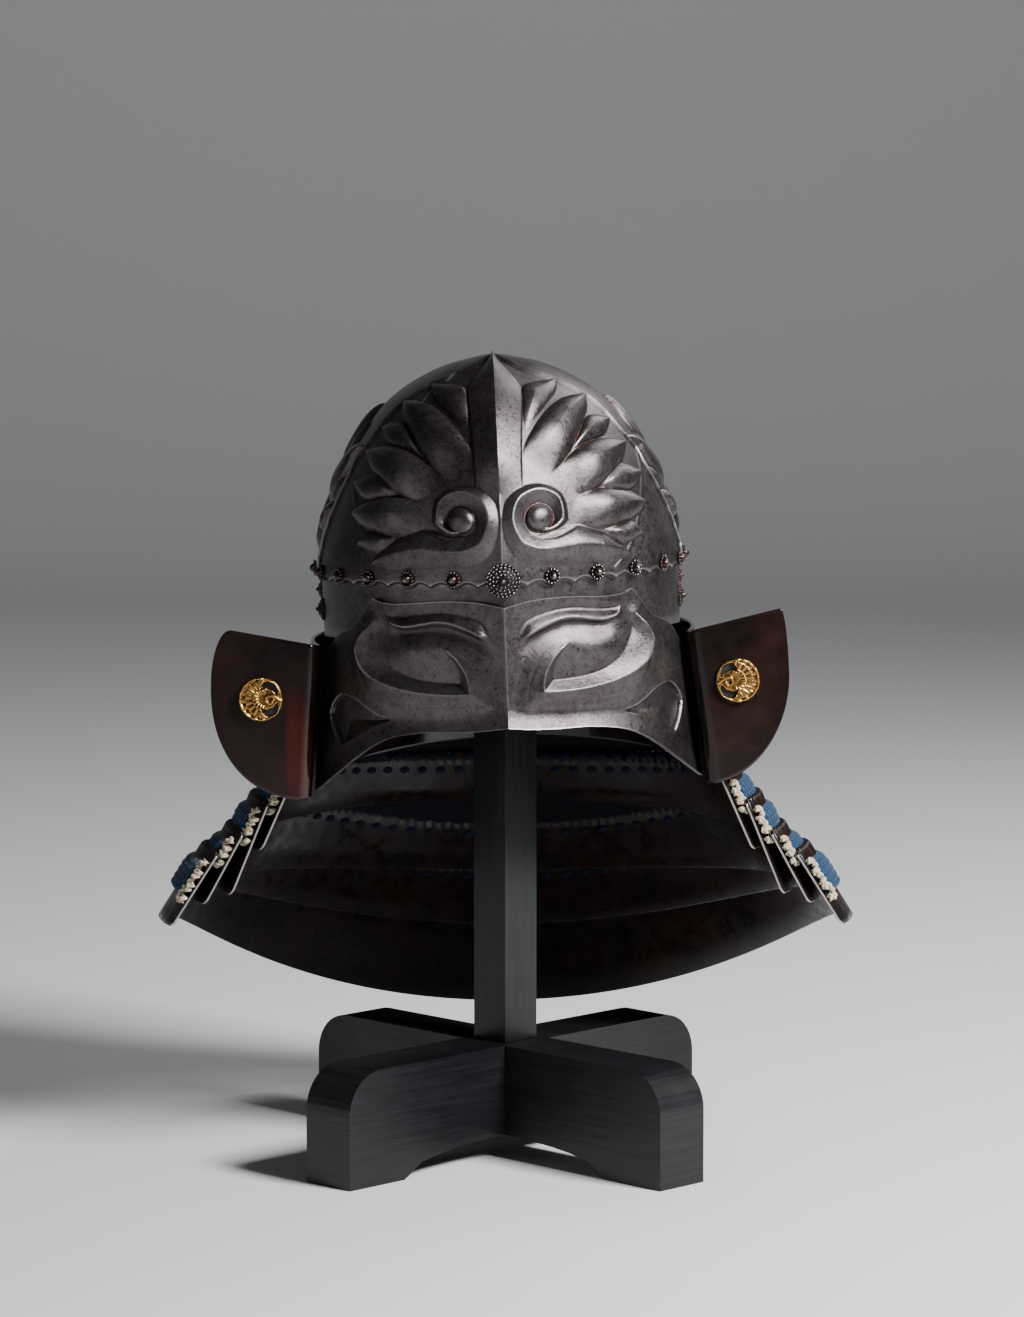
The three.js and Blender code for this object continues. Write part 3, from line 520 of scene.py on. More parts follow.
def plate(where, relief, u_fine, v_fine, u_coarse, v_coarse, flip=False):
    """where(u, height) gives an angle, relief(angle, height) how far the face is raised."""

    def place(u, row, inner):
        angle = where(u, np.maximum(row, 0))
        edge = hem(angle)
        marked = [edge, edge + HEM.rounded, edge * HEM.middle]
        height = np.select([row == EDGE_ROW, row == ROUNDED_ROW, row == MIDDLE_ROW], marked, row)
        if inner:
            return helmet(bowl_point(angle, height, -BOWL.wall))
        raised = relief(angle, np.maximum(height, 0)) - HEM.inset * (row == EDGE_ROW)
        return helmet(bowl_point(angle, height, raised))

    return shell(place, u_fine, v_fine, u_coarse, v_coarse, flip=flip)


def seam_bead(angle, height):
    """A thin raised line along the front plate's edge."""
    level = np.linspace(0, SEAM[0][1], 160)
    line = np.stack([seam_angle(level) * bowl_half(level), level], -1)
    away = gap_to(np.abs(angle) * bowl_half(height), height, line)
    return SEAM_BEAD.rise * ridge(away, SEAM_BEAD.half)


def front_surface(angle, height):
    x = bowl_half(height) * np.sin(angle)
    fade = unit((bowl_half(height) + 12 - np.abs(x)) / 12)
    return np.maximum(front_relief(x, height) * fade, seam_bead(angle, height))


def side_surface(angle, height):
    """The side palmette, calmed at the seam and at the middle of the back."""
    angle = np.abs(angle)
    calm = ease((angle - seam_angle(height) - 0.01) / 0.05) * ease((math.pi - 0.03 - angle) / 0.06)
    return side_relief(angle * GIRTH_RADIUS, height) * calm


PLATE_GAP = 0.004


def make_bowl():
    parts = plate(
        lambda u, h: u * seam_angle(h), front_surface,
        np.linspace(-1, 1, 400 // STEP + 1), bowl_rows(226 // STEP), np.linspace(-1, 1, 61), bowl_rows(30),
    )
    add_mesh("bowl_front_plate", parts, IRON, ["bowl_front"])
    for side, sign in SIDES:

        def where(u, h, sign=sign):
            return sign * lerp(seam_angle(h) + PLATE_GAP, math.pi - PLATE_GAP, u)

        parts = plate(
            where, side_surface, np.linspace(0, 1, 300 // STEP + 1), bowl_rows(170 // STEP),
            np.linspace(0, 1, 51), bowl_rows(30), flip=sign < 0,
        )
        add_mesh(f"bowl_side_plate_{side}", parts, IRON, [f"bowl_{side}"])


# ---------- band


def band_point(angle, z, lift):
    inset = BOWL.wall + GAP - lift
    front = BOWL.crown_y - BOWL.front + inset
    back = BOWL.crown_y + BOWL.back - inset
    x = (BOWL.half - inset) * np.sin(angle)
    return np.stack([x, plan_y(front, back, plan_share(angle)), z], -1)


def make_band():
    def place(u, v, inner):
        angle = (u * 2 - 1) * math.pi
        rear = ((1 - np.cos(angle)) / 2) ** 2
        bottom = -lerp(BAND.front, BAND.back, rear)
        return helmet(band_point(angle, bottom * (1 - v), -BAND.wall if inner else 0))

    u = np.linspace(0, 1, 200, endpoint=False)
    parts = shell(place, u, np.linspace(0, 1, 8), u[::2], np.linspace(0, 1, 3), ring=True)
    add_mesh("brow_band_smooth", parts, IRON, ["brow_band"])


# Painted shadow under the lip: its reach below and above the hem, and its inset.
LIP_SHADOW = dict(below=-0.6, above=0.4, inset=0.15)


def make_lip_shadow():
    """A painted shadow: a near-black strip on the band just under the bowl's scalloped lip, where the lip's
    shade falls.
    """
    angle = around(RIVETS * 20) - math.pi
    lift = BOWL.wall + GAP - LIP_SHADOW["inset"]
    edges = [band_point(angle, hem(angle) + LIP_SHADOW[edge], lift) for edge in ("below", "above")]
    strip = (helmet(np.stack(edges, 1)), quads(len(angle), 2, True))
    add_mesh("bowl_lip_painted_shadow", [strip], PAINTED_SHADE)


# ---------- visor

# Edges of the visor, right half: distance from the keel and height.
VISOR_TOP = [
    (0, -15.4), (9.9, -13.2), (18, -12.1), (30, -11.8), (42, -12.4), (53, -13.4), (60, -13.4),
    (65.3, -12.6), (68.5, -10.8),
]
VISOR_CORNER = [
    (68.5, -10.8), (72, -15.3), (75.6, -21.4), (81.2, -27.6), (87.8, -31.4), (92.9, -39), (95.9, -48),
    (99, -66), (102.5, -90), (104.8, -117.3),
]
VISOR_LOW = [
    (0, -78.3), (12, -79.6), (23.4, -80.3), (44.5, -81), (62.9, -84.6), (77, -92.6), (93.2, -106.6),
    (104.8, -117.9),
]


def visor_down(z):
    return unit((VISOR.top - z) / VISOR.drop)


def visor_point(x, z, lift, edge_gap):
    """edge_gap is the height above the lower edge, where the wall rolls out into a lip."""
    half = VISOR.top_width + VISOR.flare * visor_down(z) ** 1.5
    sine = np.clip(x / half, -1, 1)
    lip = VISOR.lip * ridge(edge_gap, VISOR.lip_height) ** 1.4
    root = BOWL.crown_y - BOWL.front - 2 * GAP
    front = root - VISOR.lean * visor_down(z) - lip - lift
    share = keeled(sine, np.sqrt(1 - sine**2))
    return np.stack([x + lift * sine, plan_y(front, VISOR.back, share), z], -1)


# The lid round the eye rises to a sharp crest: each line runs down beside the nose, then along under the eye.
EYE_CREST = [
    [(31.7, -36.4), (28.6, -38.9), (24.5, -43.2), (21.5, -48), (19.6, -53.4), (18.8, -60.3)],
    [
        (18.8, -60.3), (26, -60.6), (35.4, -60.5), (45.4, -59.6), (55.5, -57.8), (64.6, -54.7),
        (71.3, -50.4), (74.5, -45.5), (75.9, -38.4), (74.7, -33), (71.7, -28), (69.5, -24),
    ],
]
EYE_INNER = [
    [(31.7, -36.3), (28.2, -41.6), (25.7, -45.8), (24.4, -50.2), (24.2, -55)],
    [
        (24.2, -55), (31, -54.9), (39.5, -54.3), (47.5, -52.8), (54, -50), (60, -45.5), (64.8, -38.8),
        (67.6, -32.5), (69.4, -24.2),
    ],
]
EYE_OUTER = [
    [(31.7, -36.3), (26.4, -36.8), (22, -39.4), (17, -44.3), (13.5, -51.5), (11.4, -59), (11, -66)],
    [
        (11, -66), (21, -66.9), (32, -67.5), (45.5, -67.8), (55.5, -67), (64.7, -64.8), (71.3, -60.4),
        (75.2, -54.3), (76.8, -46.5), (76.9, -39), (74.8, -31), (69.8, -24),
    ],
]
# Rises along the crest, evenly spaced by its share of length.
EYE_RISES = [0.8, 2.6, 3.3, 3.9, 4.2, 4.2, 4.3, 4.4, 4.4, 4.2, 3.2, 0.3]
EYE_FOOT = Sizes(rise=1.2, width=4)
EYEBALL = Sizes(rise=2.6, x=47, z=-40, half_width=17, half_height=9)
BROW_TOP = [
    (62.2, -18.9), (57.5, -16.1), (48.5, -14.4), (38.5, -13.7), (28.6, -13.6), (18.8, -14.5), (12, -16.5),
    (6.2, -20.5), (5, -28), (7, -31.9),
]
BROW_CREST = [
    (62.1, -19.3), (60.5, -22.4), (56.5, -24.3), (51, -25), (42.5, -23.5), (35.5, -22.3), (28, -23),
    (21, -25.6), (14.5, -28.6), (7.5, -31.9),
]
BROW_FOOT = [
    (62.1, -19.3), (61.3, -21.8), (59.5, -25.3), (54.5, -28), (48.5, -28), (40.5, -26.9), (33, -26.4),
    (26.5, -27.8), (19, -30.5), (10, -35), (3, -38),
]
BROW = Sizes(hollow=1.9, crest=1.9, under=1.3, root=6, end=61)
# The hollow beside the cheek: it falls away from the soft edge and stops in a wall at the crisp one.
SPOON = Sizes(
    crisp=[
        (62, -75), (69, -73), (74.5, -69.8), (79.7, -66), (85.9, -63.5), (90, -65), (94.3, -72.5),
        (93.4, -81.5), (89.8, -90.4),
    ],
    soft=[(62, -75), (72, -79.5), (81.5, -85.9), (89.8, -90.4)],
)
SPOON_DEPTH, SPOON_WALL = 5.2, 1.3
VISOR_KEEL = 0.7


def spoon_relief(a, z):
    soft, crisp = curve_through(SPOON.soft, 24), curve_through(SPOON.crisp, 24)
    from_crisp = gap_to(a, z, crisp)
    share = part_way(gap_to(a, z, soft), from_crisp) ** 1.1
    return np.where(inside(a, z, soft, crisp), -SPOON_DEPTH * share * unit(from_crisp / SPOON_WALL), 0)


def brow_relief(a, z):
    """A soft hollow that rises to an overhanging crest, with a short wall down to the eye."""
    top, crest, foot = (curve_through(line, 60) for line in (BROW_TOP, BROW_CREST, BROW_FOOT))
    from_top, from_crest, from_foot = (gap_to(a, z, line) for line in (top, crest, foot))
    share = part_way(from_top, from_crest)
    hollow = BROW.crest * share**2 - BROW.hollow * np.sin(math.pi * share**0.8) ** 2
    under = BROW.under * ease((BROW.end - a) / 12)
    wall = lerp(BROW.crest, -under, ease(part_way(from_crest, from_foot)))
    above, below = inside(a, z, top, crest), inside(a, z, crest, foot)
    rest = -under * hump(from_foot, 5) * (z < np.interp(a, *foot[::-1].T))
    face = np.where(above, hollow, wall) * unit(from_top / BROW.root)
    return np.where(above | below, face, rest) * ease((a - 2) / 12)


def visor_relief(x, z):
    a = np.abs(x)
    inner, crest, outer = (
        np.concatenate([curve_through(nose, 20), curve_through(under, 60)[1:]])
        for nose, under in (EYE_INNER, EYE_CREST, EYE_OUTER)
    )
    lid = roof(a, z, inner, crest, outer, EYE_RISES)
    foot = EYE_FOOT.rise * hump(gap_to(a, z, outer), EYE_FOOT.width)
    eye = hump(a - EYEBALL.x, EYEBALL.half_width) * hump(z - EYEBALL.z, EYEBALL.half_height)
    keel = VISOR_KEEL * ridge(a, KEEL.half)
    return brow_relief(a, z) + spoon_relief(a, z) + lid + foot + EYEBALL.rise * eye + keel


def make_visor():
    top_line = np.concatenate([curve_through(VISOR_TOP, 40)[:-1], curve_through(VISOR_CORNER, 60)])
    low_line = curve_through(VISOR_LOW, 90)

    def place(u, v, inner):
        x = u * VISOR_CORNER[-1][0]
        top, low = (np.interp(np.abs(x), *line.T) for line in (top_line, low_line))
        z = lerp(low, top, v)
        return helmet(visor_point(x, z, -VISOR.wall if inner else visor_relief(x, z), z - low))

    # Columns crowd towards the ends, where the wall turns back.
    crowd = math.radians(78)
    u = np.sin(np.linspace(-1, 1, 460 // STEP + 1) * crowd) / math.sin(crowd)
    parts = shell(place, u, np.linspace(0, 1, 130 // STEP), u[::4], np.linspace(0, 1, 20))
    add_mesh("visor_carved", parts, IRON, ["visor"])


# ---------- rivets and rosettes

# Rings of beads: distance from the middle, height, bead radius and count. Domes: radius and height.
RIVET = dict(rings=[(3.7, 0.5, 0.9, 12)], dome=(2.8, 3.6))
FRONT_ROSETTE = dict(
    rings=[(3.4, 2.7, 0.8, 10), (5.2, 1.9, 0.85, 15), (6.9, 1.1, 0.88, 20), (8.4, 0.4, 0.9, 25)],
    dome=(2.3, 5.6), sides=18,
)
SIDE_ROSETTE = dict(rings=[(2.9, 2.4, 0.6, 10), (4.3, 1.4, 0.65, 14), (5.8, 0.6, 0.7, 18)], dome=(2, 4.6))
# Side rosettes: degrees from the front and height.
SIDE_ROSETTES = [("front", 84, -22), ("rear", 96, -13.5)]
RIVET_HEIGHT = -0.4


def stud(centre, out, rings, dome, sides=14):
    """The dome and beads of a rosette, and the disc under them, near-black as painted shade between the
    beads, in helmet millimetres.
    """
    out, across, upward = wall_axes(out)
    beads = [spots(centre, out, *dome, sides, 6)]
    for ring_radius, height, bead, count in rings:
        shift = 0.5 if count % 4 == 0 else 0
        for i in range(count):
            angle = 2 * math.pi * (i + shift) / count
            spot = centre + circle(angle, across, upward) * ring_radius + out * height
            beads.append(spots(spot, out, bead, bead, 8, 4))
    rim = rings[-1][0] + GAP
    steps = [(radius + GAP, lift - 0.2) for radius, lift, _, _ in rings[::-1]]
    profile = np.array([(rim, -GAP), (rim, GAP), *steps, (0.1, rings[0][1])])
    t, k = grid(around(24), np.arange(len(profile)))
    disc = centre + circle(t, across, upward) * profile[k][..., :1] + profile[k][..., 1:] * out
    return beads, (disc, quads(*t.shape, True))


def add_studs(name, studs, nodes):
    beads = [(helmet(vertices), faces) for parts, _ in studs for vertices, faces in parts]
    discs = [(helmet(vertices), faces) for _, (vertices, faces) in studs]
    add_mesh(name + "_beaded", beads, STUD, nodes)
    # The discs under the beads are near-black, as painted shade.
    add_mesh(name + "_disc", discs, PAINTED_SHADE)


def outward(place, angle):
    """Level unit normal of the wall that place(angle) runs round."""
    along = place(angle + 0.01) - place(angle - 0.01)
    return np.array([along[1], -along[0], 0]) / np.linalg.norm(along[:2])


def make_rivets():
    def on_skirt(angle):
        x, y, _ = bowl_point(np.array(angle), np.array(0.0))
        return np.array([x, y, RIVET_HEIGHT])

    studs = []
    for i in range(1, RIVETS):
        angle = 2 * math.pi * (i / RIVETS - (i > RIVETS / 2))
        out = outward(on_skirt, angle)
        studs.append(stud(on_skirt(angle) + out * 0.5, out, **RIVET))
    add_studs("rivets", studs, [f"rivet_{i:02d}" for i in range(1, RIVETS)])
    centre = on_skirt(0) + np.array([0, -0.6, -0.6])
    add_studs("rosette_front", [stud(centre, [0, -1, 0], **FRONT_ROSETTE)], ["rosette_front"])


def make_side_rosettes():
    for side, sign in SIDES:
        for place_name, degrees, height in SIDE_ROSETTES:

            def on_band(angle, height=height):
                return band_point(np.array(angle), np.array(float(height)), 0)

            angle = sign * math.radians(degrees)
            name = f"rosette_{side}_{place_name}"
            add_studs(name, [stud(on_band(angle), outward(on_band, angle), **SIDE_ROSETTE)], [name])


# ---------- lames


def edge_drop(s):
    return ((1 + np.cos(math.pi * s)) / 2) ** 1.5


def upper_height(lame, s):
    return lerp(lame.up_end, lame.up_back, edge_drop(s))


def lower_height(lame, s):
    return lerp(lame.low_end, lame.low_back, edge_drop(s))


def lame_at(number, s, z, depth):
    """A place on a lame's wall at height z; s is -1 at the left front end and 1 at the right."""
    lame, plan = LAMES[number], PLANS[min(number, 1)]
    down = (lame.up_end - z) / (lame.up_end - lame.low_end)
    half = plan.spread * np.abs(s) ** 8 + lerp(lame.up_w, lame.low_w, down)
    down = (lame.up_back - z) / (lame.up_back - lame.low_back)
    deep = lerp(lame.up_rear, lame.low_rear, down) - plan.centre
    angle = s * np.arccos((plan.end - plan.centre) / deep)
    return np.stack([(half + depth) * np.sin(angle), plan.centre + (deep + depth) * np.cos(angle), z], -1)


def lame_girth(number):
    s = np.linspace(-1, 1, 200)
    points = lame_at(number, s, lower_height(LAMES[number], s), 0.0)
    return np.linalg.norm(np.diff(points, axis=0), axis=1).sum()


GIRTHS = [lame_girth(number) for number in range(len(LAMES))]
SCALE = Sizes(pitch=5.4, columns=8, scallop=1.3, ridge=1.5)


def wall_thickness(number, s):
    """The hanging lames thin out towards their ends."""
    return LAME_WALL - 0.9 * ease((np.abs(s) - 0.95) / 0.05) * (number > 0)


def make_hanging_lame(number):
    """A lame whose head is cut into overlapping scales."""
    lame = LAMES[number]
    scales = round(GIRTHS[number] / SCALE.pitch)
    u = np.linspace(-1, 1, scales * SCALE.columns + 1)
    rows = np.array([0, 0.015, 0.08, 0.16, 0.24, 0.3, 0.36, 0.5, 0.7, 0.9, 0.985, 1])

    def place(s, v, inner):
        phase = (s + 1) / 2 * scales % 1
        corner = unit((np.abs(s) - 0.985) / 0.015) ** 2
        upper = upper_height(lame, s)
        top = upper - SCALE.scallop * np.abs(np.cos(math.pi * phase)) ** 3 - 5 * corner
        z = lerp(top, lower_height(lame, s) + 3 * corner, v)
        head = unit((HEAD_HEIGHT + 1.5 - (upper - z)) / 1.5)
        overlap = SCALE.ridge * phase**0.8 * (1 - ease((phase - 0.84) / 0.16)) * head
        rounding = 0.8 * ((v < 0.01) | (v > 0.99))
        depth = rounding if inner else wall_thickness(number, s) + overlap - rounding
        return hanging(lame_at(number, s, z, depth))

    parts = shell(place, u, rows, u, rows[[0, 1, 5, 8, 10, 11]], flip=True)
    add_mesh(f"lame_{number + 1}_scaled", parts, LAME_LACQUER, [f"lame_{number + 1}"])


def turnback_top(x, flap):
    bend = flap.reach - flap.corner
    climb = (x - TURNBACK.top_start) / (bend - TURNBACK.top_start)
    out = unit((x - bend) / flap.corner)
    rounded = lerp(TURNBACK.widest, TURNBACK.corner_top, np.sqrt(1 - out**2))
    return np.where(x <= bend, lerp(TURNBACK.root_top, TURNBACK.corner_top, climb), rounded)


def turnback_bottom(x, flap):
    out = unit((x - TURNBACK.bottom_start) / (flap.reach - TURNBACK.bottom_start))
    rounded = (1 - out ** flap.fullness) ** (1 / flap.fullness)
    return lerp(TURNBACK.widest, TURNBACK.bottom, rounded) - GAP


def turnback_point(sign, progress, v, depth):
    """A place on a flap: the lame's end curls outwards, then runs on flat."""
    flap, curl, share = FLAPS[sign], TURNBACK.curl, TURNBACK.share
    root = lame_at(0, np.full_like(v, sign), lerp(LAMES[0].up_end, LAMES[0].low_end, v), 0.0)
    root_x = np.abs(root[..., 0])
    turned = np.minimum(progress / share, 1) * math.radians(TURNBACK.degrees)
    flat = unit((progress - share) / (1 - share))
    curl_end = root_x + curl * (1 - np.cos(turned))
    length = (flap.reach - curl_end) / np.maximum(np.sin(turned), 1e-6) * np.sin(flat * math.pi / 2)
    length = np.where(flat > 0, length, 0)
    x = root_x + curl - (curl - depth) * np.cos(turned) + length * np.sin(turned)
    y = root[..., 1] - (curl - depth) * np.sin(turned) - length * np.cos(turned)
    face = curl_end + length * np.sin(turned)
    return np.stack([sign * x, y, lerp(turnback_top(face, flap), turnback_bottom(face, flap), v)], -1)


# How far s runs on past the first lame's ends, along the flaps.
FLAP_RUN = 0.3


def make_first_lame():
    lame = LAMES[0]
    flap_columns = np.linspace(1, 1 + FLAP_RUN, 71)[1:]
    u = np.concatenate([-flap_columns[::-1], np.linspace(-1, 1, 140), flap_columns])
    rows = np.concatenate([[0, 0.006], np.linspace(0.02, 0.98, 22), [0.994, 1]])

    def place(s, v, inner):
        rounding = 0.7 * ((v < 0.005) | (v > 0.995) | (np.abs(s) > 0.999 + FLAP_RUN))
        depth = rounding if inner else LAME_WALL - rounding
        middle = np.clip(s, -1, 1)
        wall = lame_at(0, middle, lerp(upper_height(lame, middle), lower_height(lame, middle), v), depth)
        for _, sign in SIDES:
            flap = turnback_point(sign, unit((s * sign - 1) / FLAP_RUN), v, depth)
            wall = np.where((s * sign > 1)[..., None], flap, wall)
        return helmet(wall)

    parts = shell(place, u, rows, u, rows, flip=True)
    add_mesh("lame_1_turnbacks", parts, LACQUER, ["lame_1"])


# ---------- lacing

BRAID = Sizes(pitch=7.4, overlap=1.04, rib=3.4, thick=5)
# How far the first lame's lacing leans out: where it starts, at the back, and more at the sides.
FLARE = Sizes(start=0.4, back=9.5, side=5, side_from=0.6)


def lacing_heights(number, s):
    lame = LAMES[number]
    upper, lower = upper_height(lame, s), lower_height(lame, s)
    head = HEAD_HEIGHT - 2.5 if number else (upper - lower) * 0.42
    if number + 1 < len(LAMES):
        return upper - head, upper_height(LAMES[number + 1], s) - TUCK
    return upper - head, lower + BARE_HEM


def flare(number, s, t):
    """How far the first lame's lacing leans out on its way to the second lame's head."""
    lean = ease((t - FLARE.start) / (1 - FLARE.start)) * (number == 0)
    return lean * (FLARE.back + FLARE.side * unit(np.abs(s) / FLARE.side_from) ** 2)


def braid(number, s, width, frame_of):
    """One flat braid down the outside of a lame, with slanted ribs on both halves of its face."""
    top, foot = lacing_heights(number, s)
    length = top - foot
    a, t = grid(np.linspace(-1, 1, 7), np.linspace(0, 1, max(int(length / BRAID.rib * 5), 10)))
    rib = np.abs(((t * length / BRAID.rib + np.abs(a) * 0.6) % 1) - 0.5) * 2
    ends = unit(1 - np.abs(t * 2 - 1) ** (length / 3.2)) ** 0.5
    round_face = unit(1 - a**2) ** 0.4 * (0.55 + 0.45 * np.sqrt(1 - rib**2 * 0.98))
    depth = LAME_WALL + GAP + BRAID.thick * round_face * ends + flare(number, s, t)
    point = lame_at(number, s + a * width / GIRTHS[number], lerp(top, foot, t), depth)
    return frame_of(point), quads(*a.shape, flip=True)


def backing(number, span, frame_of):
    """The shaded back of the braids, which closes the gap between two lames."""
    s, t = grid(np.linspace(-span, span, 120), np.linspace(0, 1, 9))
    depth = wall_thickness(number, s) + GAP / 2 + flare(number, s, t)
    point = lame_at(number, s, lerp(*lacing_heights(number, s), t), depth)
    return frame_of(point), quads(*s.shape, flip=True)


def make_lacing(number):
    frame_of = hanging if number else helmet
    span = 1 - 15 / GIRTHS[number] if number else 0.97
    run = GIRTHS[number] * span
    count = round(run / BRAID.pitch)
    places = [span * ((i + 0.5) / count * 2 - 1) for i in range(count)]
    parts = [braid(number, s, run / count * BRAID.overlap, frame_of) for s in places]
    add_mesh(f"lacing_{number + 1}_braids", parts, LACING, [f"lacing_{number + 1}"])
    add_mesh(f"lacing_{number + 1}_backs", [backing(number, span, frame_of)], SHADE)


def strand(path, radius, pitch, offset, start=0.0, sides=6):
    """A tube that winds round a path of places in the lames' frame."""
    ahead = np.gradient(path, axis=0)
    aside = np.cross(ahead, [0.31, 0.95, 0.05])
    ahead /= np.linalg.norm(ahead, axis=1)[:, None]
    aside /= np.linalg.norm(aside, axis=1)[:, None]
    third = np.cross(ahead, aside)
    run = np.concatenate([[0], np.cumsum(np.linalg.norm(np.diff(path, axis=0), axis=1))])
    centre = path + offset * circle(2 * math.pi * run / pitch + start, aside, third)
    tube = centre[:, None] + radius * circle(around(sides)[None], aside[:, None], third[:, None])
    faces = []
    for base in range(0, (len(path) - 1) * sides, sides):
        for k in range(sides):
            after = (k + 1) % sides
            faces.append([base + k, base + after, base + sides + after, base + sides + k])
    faces += [list(range(sides))[::-1], [(len(path) - 1) * sides + k for k in range(sides)]]
    return hanging(tube), faces


# The cord of a lame's end: its strands' radius and twist, and its loops by share of the way down and radius.
CORD_STRAND = dict(radius=1.05, pitch=6.5, offset=0.9)
CORD_LOOPS, LOOP_SHARE = [(0.1, 2.3), (0.42, 1.2), (0.72, 3)], 0.16


def make_edge_cords(number):
    """The pale cord that binds a lame's end, slung in loops."""
    for side, sign in SIDES:
        t = np.linspace(0, 1, 110)
        top, foot = lacing_heights(number, sign)
        along, down = np.zeros_like(t), np.zeros_like(t)
        lift = 1.7 + 0.5 * np.sin(t * 19)
        for at, radius in CORD_LOOPS:
            turn = unit((t - at) / LOOP_SHARE) * 2 * math.pi
            along += radius * (1 - np.cos(turn)) * 0.8
            down += radius * np.sin(turn)
            lift += 1.2 * np.sin(turn / 2)
        s = sign * (1 - (2.6 + along * 1.1) * 2 / GIRTHS[number])
        path = lame_at(number, s, top + 1 + (foot - top - 4) * t + down, LAME_WALL + lift)
        name = f"edge_cord_{number + 1}_{side}"
        strands = [strand(path, **CORD_STRAND, start=start) for start in (0, math.pi)]
        add_mesh(name + "_rope", strands, CORD, [name])


def make_rims(number):
    """The rubbed edge of a lame's two ends."""
    lame = LAMES[number]
    t = np.linspace(0, 1, 40)
    out = 1 - 0.015 * unit((t - 0.94) / 0.06) ** 2
    z = lerp(lame.up_end - 3, lame.low_end + 0.4, t)
    parts = [strand(lame_at(number, sign * out, z, 0.65), 0.62, 400, 0.02, sides=8) for _, sign in SIDES]
    add_mesh(f"lame_{number + 1}_rims", parts, RIM)


def make_inner_stitches():
    """Rows of lace stitches on the inside of the hanging lames, coloured darker than the outer lacing as
    painted shade.
    """
    parts = []
    for number in range(1, len(LAMES)):
        last = number == len(LAMES) - 1
        rows, pitch = ((7.5,), 9.5) if last else ((3.6, 11.2), 11)
        count = round(GIRTHS[number] / pitch)
        for row, below in enumerate(rows):
            for i in range(count):
                s = ((i + 0.5 * (row % 2) + 0.25) / count * 2 - 1) * 0.985
                z = upper_height(LAMES[number], s) - below
                point = lame_at(number, s, z, 0.0)
                vertices, faces = spots(point, lame_at(number, s, z, -1.0) - point, 3.3, 1.1, 10, 3)
                parts.append((hanging(point + (vertices - point) * np.array([1, 1, 0.72])), faces))
    add_mesh("inner_lace_stitches", parts, STITCH_IN_SHADE)


# ---------- roundels

# Places on a roundel: distance from its centre towards the outer side of the flap, and height.
CRESCENT = [(-8.8, 2.6), (-7, 6.2), (-3.2, 7.4), (-0.6, 5.2)]
TENDRIL = [(-11, -1), (-7.5, 1.2), (-4, 1.6), (-3, -1), (-5.4, -2.4), (-6.8, -0.6)]
CRESCENT_FLOOR, CRESCENT_DEPTH = 0.5, 3.2
RAYS = Sizes(root=-2, start=2.2, tier=4, count=9, rise=0.75, step=0.9)
# Distance of the first lame's front end from the keel.
FLAP_ROOT = 100.5


def on_flap(sign, p, q, height):
    """A place over a flap's face, p outwards and q up from the roundel's centre."""
    tilt = math.radians(TURNBACK.degrees - 90)
    out = np.array([sign * math.sin(tilt), -math.cos(tilt), 0])
    across = np.array([-out[1], out[0], 0]) * sign
    past_curl = CRESTS[sign] - FLAP_ROOT - TURNBACK.curl
    face_y = PLANS[0].end - TURNBACK.curl + past_curl * math.tan(tilt)
    centre = np.array([sign * CRESTS[sign], face_y - GAP, CREST_HEIGHT]) + out * GAP
    upward = np.array([0, 0, 1])
    return helmet(centre + p[..., None] * across + q[..., None] * upward + height[..., None] * out)


def crescent_line(half):
    return curve_through([(p, q * half) for p, q in CRESCENT], 20)


def crescent_shade_floor(sign, half):
    """The floor of the upper or the lower crescent, near-black as painted shade in the hollow."""
    line = crescent_line(half)
    ahead = np.gradient(line, axis=0)
    aside = np.stack([-ahead[:, 1], ahead[:, 0]], -1) / np.linalg.norm(ahead, axis=1)[:, None]
    reach = 0.4 + 1.5 * np.sin(math.pi * np.linspace(0, 1, len(line)))[:, None]
    p, q = np.moveaxis(np.stack([line - aside * reach, line + aside * reach], 1), -1, 0)
    return on_flap(sign, p, q, np.full_like(p, CRESCENT_FLOOR)), quads(*p.shape)


def crest_height(p, q):
    """Two tiers of rays on the outer side, and a tendril between two crescents on the inner."""
    radius = np.hypot(p, q)
    dome = 1.2 + 1.4 * np.sqrt(unit(1 - (radius / CREST_RADIUS) ** 2))
    from_root = p - RAYS.root
    ring = np.hypot(from_root, q)
    layer = (ring - RAYS.start) / RAYS.tier
    tier = np.floor(layer)
    layer = layer - tier
    ray = np.abs(np.cos(np.arctan2(q, from_root) * RAYS.count + tier * math.pi / 2)) ** 0.7
    rays = RAYS.rise * ray * (1 - 0.4 * layer) + RAYS.step * layer
    rays = rays * ease((ring - 2.5) / 2) * ease((p + 3.5) / 2.5) + 0.7 * hump(radius - 11.1, 0.6)
    tendril = 1.3 * unit(1 - (gap_to(p, q, curve_through(TENDRIL, 40)) / 1.3) ** 2)
    hollow = 0.0
    for half in (1, -1):
        gap, along = distance(p, q, crescent_line(half))
        hollow = hollow + CRESCENT_DEPTH * unit(1 - (gap / (0.5 + 1.7 * np.sin(math.pi * along))) ** 4)
    return np.maximum(dome + np.maximum(rays, tendril) - hollow, 0.25)


def make_crests():
    """Generic gilt roundels."""
    radius = np.concatenate([[CREST_RADIUS, CREST_RADIUS], np.linspace(CREST_RADIUS - 0.15, 0.05, 48)])
    t, r = grid(around(200), radius)
    p, q = r * np.cos(t), r * np.sin(t)
    height = crest_height(p, q)
    height[:, 0], height[:, 1] = 0, 0.9
    for side, sign in SIDES:
        # Near-black floors in the crescents, as painted shade.
        add_mesh(f"crest_{side}_fields", [crescent_shade_floor(sign, half) for half in (1, -1)], PAINTED_SHADE)
        face = (on_flap(sign, p, q, height), quads(*t.shape, True, flip=sign < 0))
        add_mesh(f"crest_{side}_rayed", [face], GOLD, [f"crest_{side}"])


# ---------- materials


